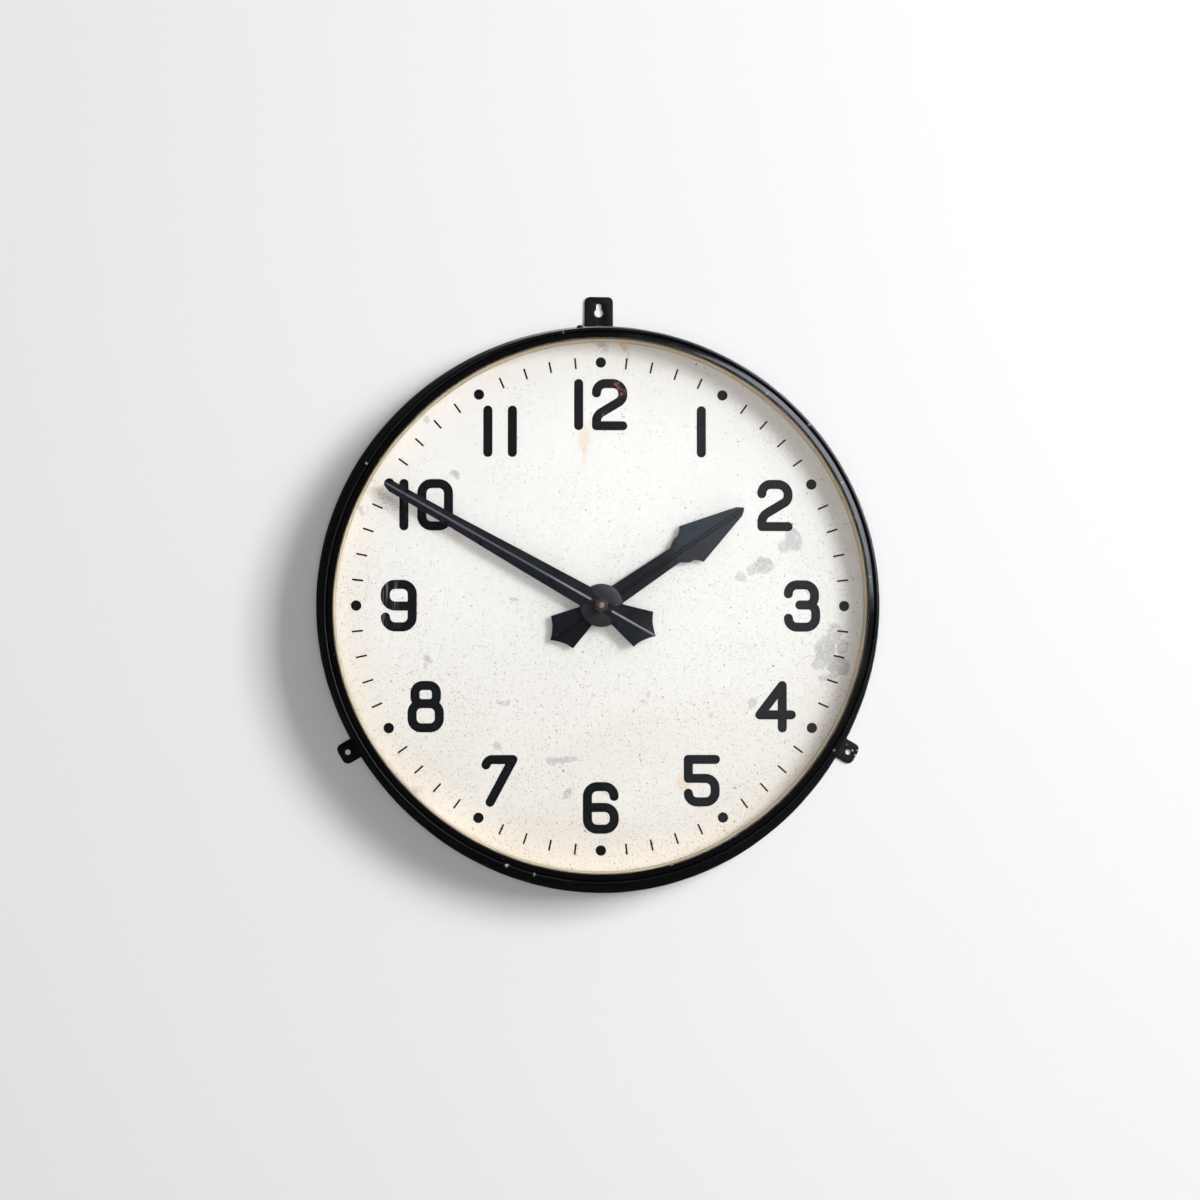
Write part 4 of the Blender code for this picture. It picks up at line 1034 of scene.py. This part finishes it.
def make_hands():
    stations = swallow_tail(-53.3, -41.4, 17.1, -14, 9) + [(6, 9.1), (78.3, 7.6)]
    stations += [(78.3 + 7 * t, 7.6 + 4.8 * t**0.8) for t in (0.3, 0.65, 1)]
    stations += [(85.3 + 9.9 * t, 12.3 + 6.6 * t**2.6) for t in (0.25, 0.5, 0.7, 0.85, 0.95, 1)]
    stations += [(120, 11.9), (146, 4.6), (148.8, 2.4), (151.1, 0.3)]
    groove = ((0, 0.35), (0.45, 0.25), (0.95, -0.35), (1.6, -0.3), (2.3, 0))
    hand = pressed_hand("hour_hand_pressing", stations, 1.9 * MM, groove, HOUR_ANGLE, HOUR_HAND_BACK)
    finish = hand_enamel("hour_hand_enamel", HOUR_ANGLE, 0.062, 0.092, rib_highlight=False)
    add_piece(
        "hour_hand_pressing", bored(hand, HOUR_HOLE), finish, "hand_enamel", "hour_hand", body="hour_train",
    )

    back = MINUTE_BOSS_BACK + 0.6 * MM
    stations = swallow_tail(-54.2, -42.2, 17.4, -14, 9.6) + [(8, 9.6), (80, 7.8), (147, 5.8)]
    stations += [(194, 5), (209, 4.9), (213.4, 3.1), (216.2, 0.3)]
    rib = ((0, 0.35), (0.35, 0.3), (0.65, 0.1), (0.8, 0))
    hand = pressed_hand("minute_hand_pressing", stations, 1.9 * MM, rib, MINUTE_ANGLE, back)
    finish = hand_enamel("minute_hand_enamel", MINUTE_ANGLE, 0.3, 0.5, rib_highlight=True)
    hand = bored(hand, MINUTE_HOLE)
    add_piece("minute_hand_pressing", hand, finish, "hand_enamel", "minute_hand", body="minute_train")

    front = MINUTE_BOSS_BACK + 2.4 * MM
    profile = [(MINUTE_HOLE, MINUTE_BOSS_BACK), (MINUTE_BOSS_RADIUS, MINUTE_BOSS_BACK)]
    profile += [(MINUTE_BOSS_RADIUS, MINUTE_BOSS_BACK + 0.7 * MM)]
    profile += [((18.4 - 8 * i / 6) * MM, front - 1.3 * MM * (1 - i / 6) ** 2) for i in range(7)]
    profile += [(MINUTE_HOLE, front)]
    boss = lathe("minute_hand_boss", profile, segments=96, follow=0)
    dull = mottled("boss_enamel", (0.003, 0.003, 0.0035), (0.006, 0.006, 0.0075), 0.5, 60)
    add_piece("minute_hand_boss", boss, dull, "hand_enamel", body="minute_train")
    nut = softened_copy("centre_nut", 0.5 * MM)
    add_piece(
        "worn_centre_nut", nut, SLOT_MATERIALS["old_brass"], "old_brass", "centre_nut", body="minute_train",
    )
    arbor = softened_copy("minute_arbor", 0.3 * MM)
    rusty = metal("rusty_steel", (0.42, 0.31, 0.26), (0.16, 0.10, 0.08), 0.5)
    add_piece("worn_arbor", arbor, rusty, "steel", "minute_arbor", body="minute_train")


# Room, light and camera ------------------------


def stage_material(name, colour):
    """Pale paint that shows only from its front, so that it never hides the clock's back."""
    paint = Paint(name, colour, 0.9)
    paint.set("Base Color", paint.blend(paint.noise(3, 3), colour, [0.985 * c for c in colour]))
    behind = paint.add("NewGeometry").outputs["Backfacing"]
    paint.clear_where(paint.maths("MAXIMUM", behind, paint.add("LightPath").outputs["Is Shadow Ray"]))
    return paint.material


def sheet(name, width, height, matrix, material):
    """A flat stage sheet that faces its own +Z."""
    bm = bmesh.new()
    bmesh.ops.create_grid(bm, x_segments=1, y_segments=1, size=0.5)
    bmesh.ops.transform(bm, matrix=matrix @ Matrix.Diagonal((width, height, 1, 1)), verts=bm.verts)
    mesh = bpy.data.meshes.new(name)
    bm.to_mesh(mesh)
    bm.free()
    obj = in_scene(name, mesh)
    mesh.materials.append(material)
    return obj


def towards(angle, off_axis, distance):
    """A pose at a clock angle and an angle off the clock's axis, looking at the clock with its -Z."""
    tilt = math.radians(off_axis)
    across, up = polar(angle, math.sin(tilt) * distance)
    spot = place(across, up, math.cos(tilt) * distance)
    return Matrix.Translation(spot) @ spot.to_track_quat("Z", "Y").to_matrix().to_4x4()


def area_light(name, angle, off_axis, distance, size, energy, colour=(1, 1, 1)):
    """A lamp that gives shading but no mirror image of itself; the reflection cards give those."""
    lamp = bpy.data.lights.new(name, "AREA")
    lamp.shape = "RECTANGLE"
    lamp.size, lamp.size_y = size
    lamp.energy = energy
    lamp.color = colour
    obj = in_scene(name, lamp)
    obj.matrix_world = towards(angle, off_axis, distance)
    obj.visible_glossy = False
    obj.visible_transmission = False


def reflection_card(name, angle, off_axis, distance, size, strength, colour=(1, 1, 1), fade=False):
    """A glowing sheet that only shows as a reflection. A faded one is dark at its lower left."""
    paint = Paint(name)
    glow = paint.add("Emission")
    glow.inputs["Color"].default_value = (*colour, 1)
    glow.inputs["Strength"].default_value = strength
    if fade:
        across, _, up = paint.axes()
        reach = paint.maths("MULTIPLY_ADD", up, 0.18, across)
        paint.feed(glow.inputs["Strength"], paint.ease(reach, 0.0, 0.7, 0.0, strength))
    paint.tree.links.new(glow.outputs[0], paint.output.inputs[0])
    paint.tree.nodes.remove(paint.shader)
    card = sheet(name, *size, towards(angle, off_axis, distance), paint.material)
    card.visible_camera = card.visible_diffuse = card.visible_transmission = card.visible_shadow = False


def make_room():
    wall = Matrix.Translation((0, LUG_BACK + 0.1 * MM, 0)) @ Matrix.Rotation(math.pi / 2, 4, "X")
    wall = sheet("wall", 9, 9, wall, stage_material("wall_paint", (0.87, 0.87, 0.88)))
    floor = Matrix.Translation((0, 0, -1.7))
    floor = sheet("floor", 9, 9, floor, stage_material("floor_paint", (0.85, 0.85, 0.85)))
    wall.visible_glossy = floor.visible_glossy = floor.visible_diffuse = False
    area_light("window", 66, 37, 4.3, (1.55, 1.55), 154, (0.98, 0.99, 1.0))
    area_light("front_fill", 40, 14, 7, (4, 4), 38, (1.0, 0.98, 0.96))
    area_light("low_fill", 208, 4, 5, (1.6, 1.6), 70, (1.0, 0.975, 0.95))
    area_light("back_fill", 30, 150, 2.6, (2.0, 2.0), 36)
    reflection_card("window_in_bezel", 55, 62, 2.5, (2.2, 2.5), 8.5, (0.84, 0.9, 1.0))
    reflection_card("room_in_glass", 90, 16, 4.5, (3.4, 4.0), 0.65, (0.92, 0.96, 1.0), fade=True)
    reflection_card("room_behind", 40, 142, 3.2, (3.4, 2.6), 2.2)
    world = bpy.data.worlds.new("room")
    bpy.context.scene.world = world
    world.use_nodes = True
    tree = world.node_tree
    tree.nodes.clear()
    output = tree.nodes.new("ShaderNodeOutputWorld")
    path = tree.nodes.new("ShaderNodeLightPath")
    shader = None
    for ray, colour in (
        (None, (0.06, 0.06, 0.064)),
        ("Is Glossy Ray", (0.02, 0.02, 0.022)),
        ("Is Camera Ray", (0.90, 0.90, 0.91)),
    ):
        sky = tree.nodes.new("ShaderNodeBackground")
        sky.inputs[0].default_value = (*colour, 1)
        if shader:
            mix = tree.nodes.new("ShaderNodeMixShader")
            for socket, source in zip(mix.inputs, (path.outputs[ray], shader.outputs[0], sky.outputs[0])):
                tree.links.new(source, socket)
        shader = mix if shader else sky
    tree.links.new(shader.outputs[0], output.inputs[0])


def make_camera():
    """At the height and side the clock is seen from: a little left of it and below."""
    distance = 2.5
    view_width = 1.035
    azimuth, elevation = math.radians(-2.0), math.radians(-1.9)
    flat = math.cos(elevation)
    back = Vector((math.sin(azimuth) * flat, -math.cos(azimuth) * flat, math.sin(elevation)))
    camera = bpy.data.cameras.new("camera")
    camera.sensor_width = 36
    camera.lens = camera.sensor_width / 2 / (view_width / 2 / distance)
    camera.clip_start, camera.clip_end = 0.05, 50
    obj = in_scene("camera", camera)
    aim = place(-0.7 * MM, 5.1 * MM, DIAL_FRONT)
    obj.location = aim + back * (distance + BEZEL_FRONT - DIAL_FRONT)
    obj.rotation_mode = "QUATERNION"
    obj.rotation_quaternion = (-back).to_track_quat("-Z", "Y")
    bpy.context.scene.camera = obj
    bpy.context.scene.view_settings.view_transform = "Standard"


paint_cad_nodes()
make_case()
make_bezel()
make_front()
make_fixings()
make_print()
make_hands()
make_room()
make_camera()
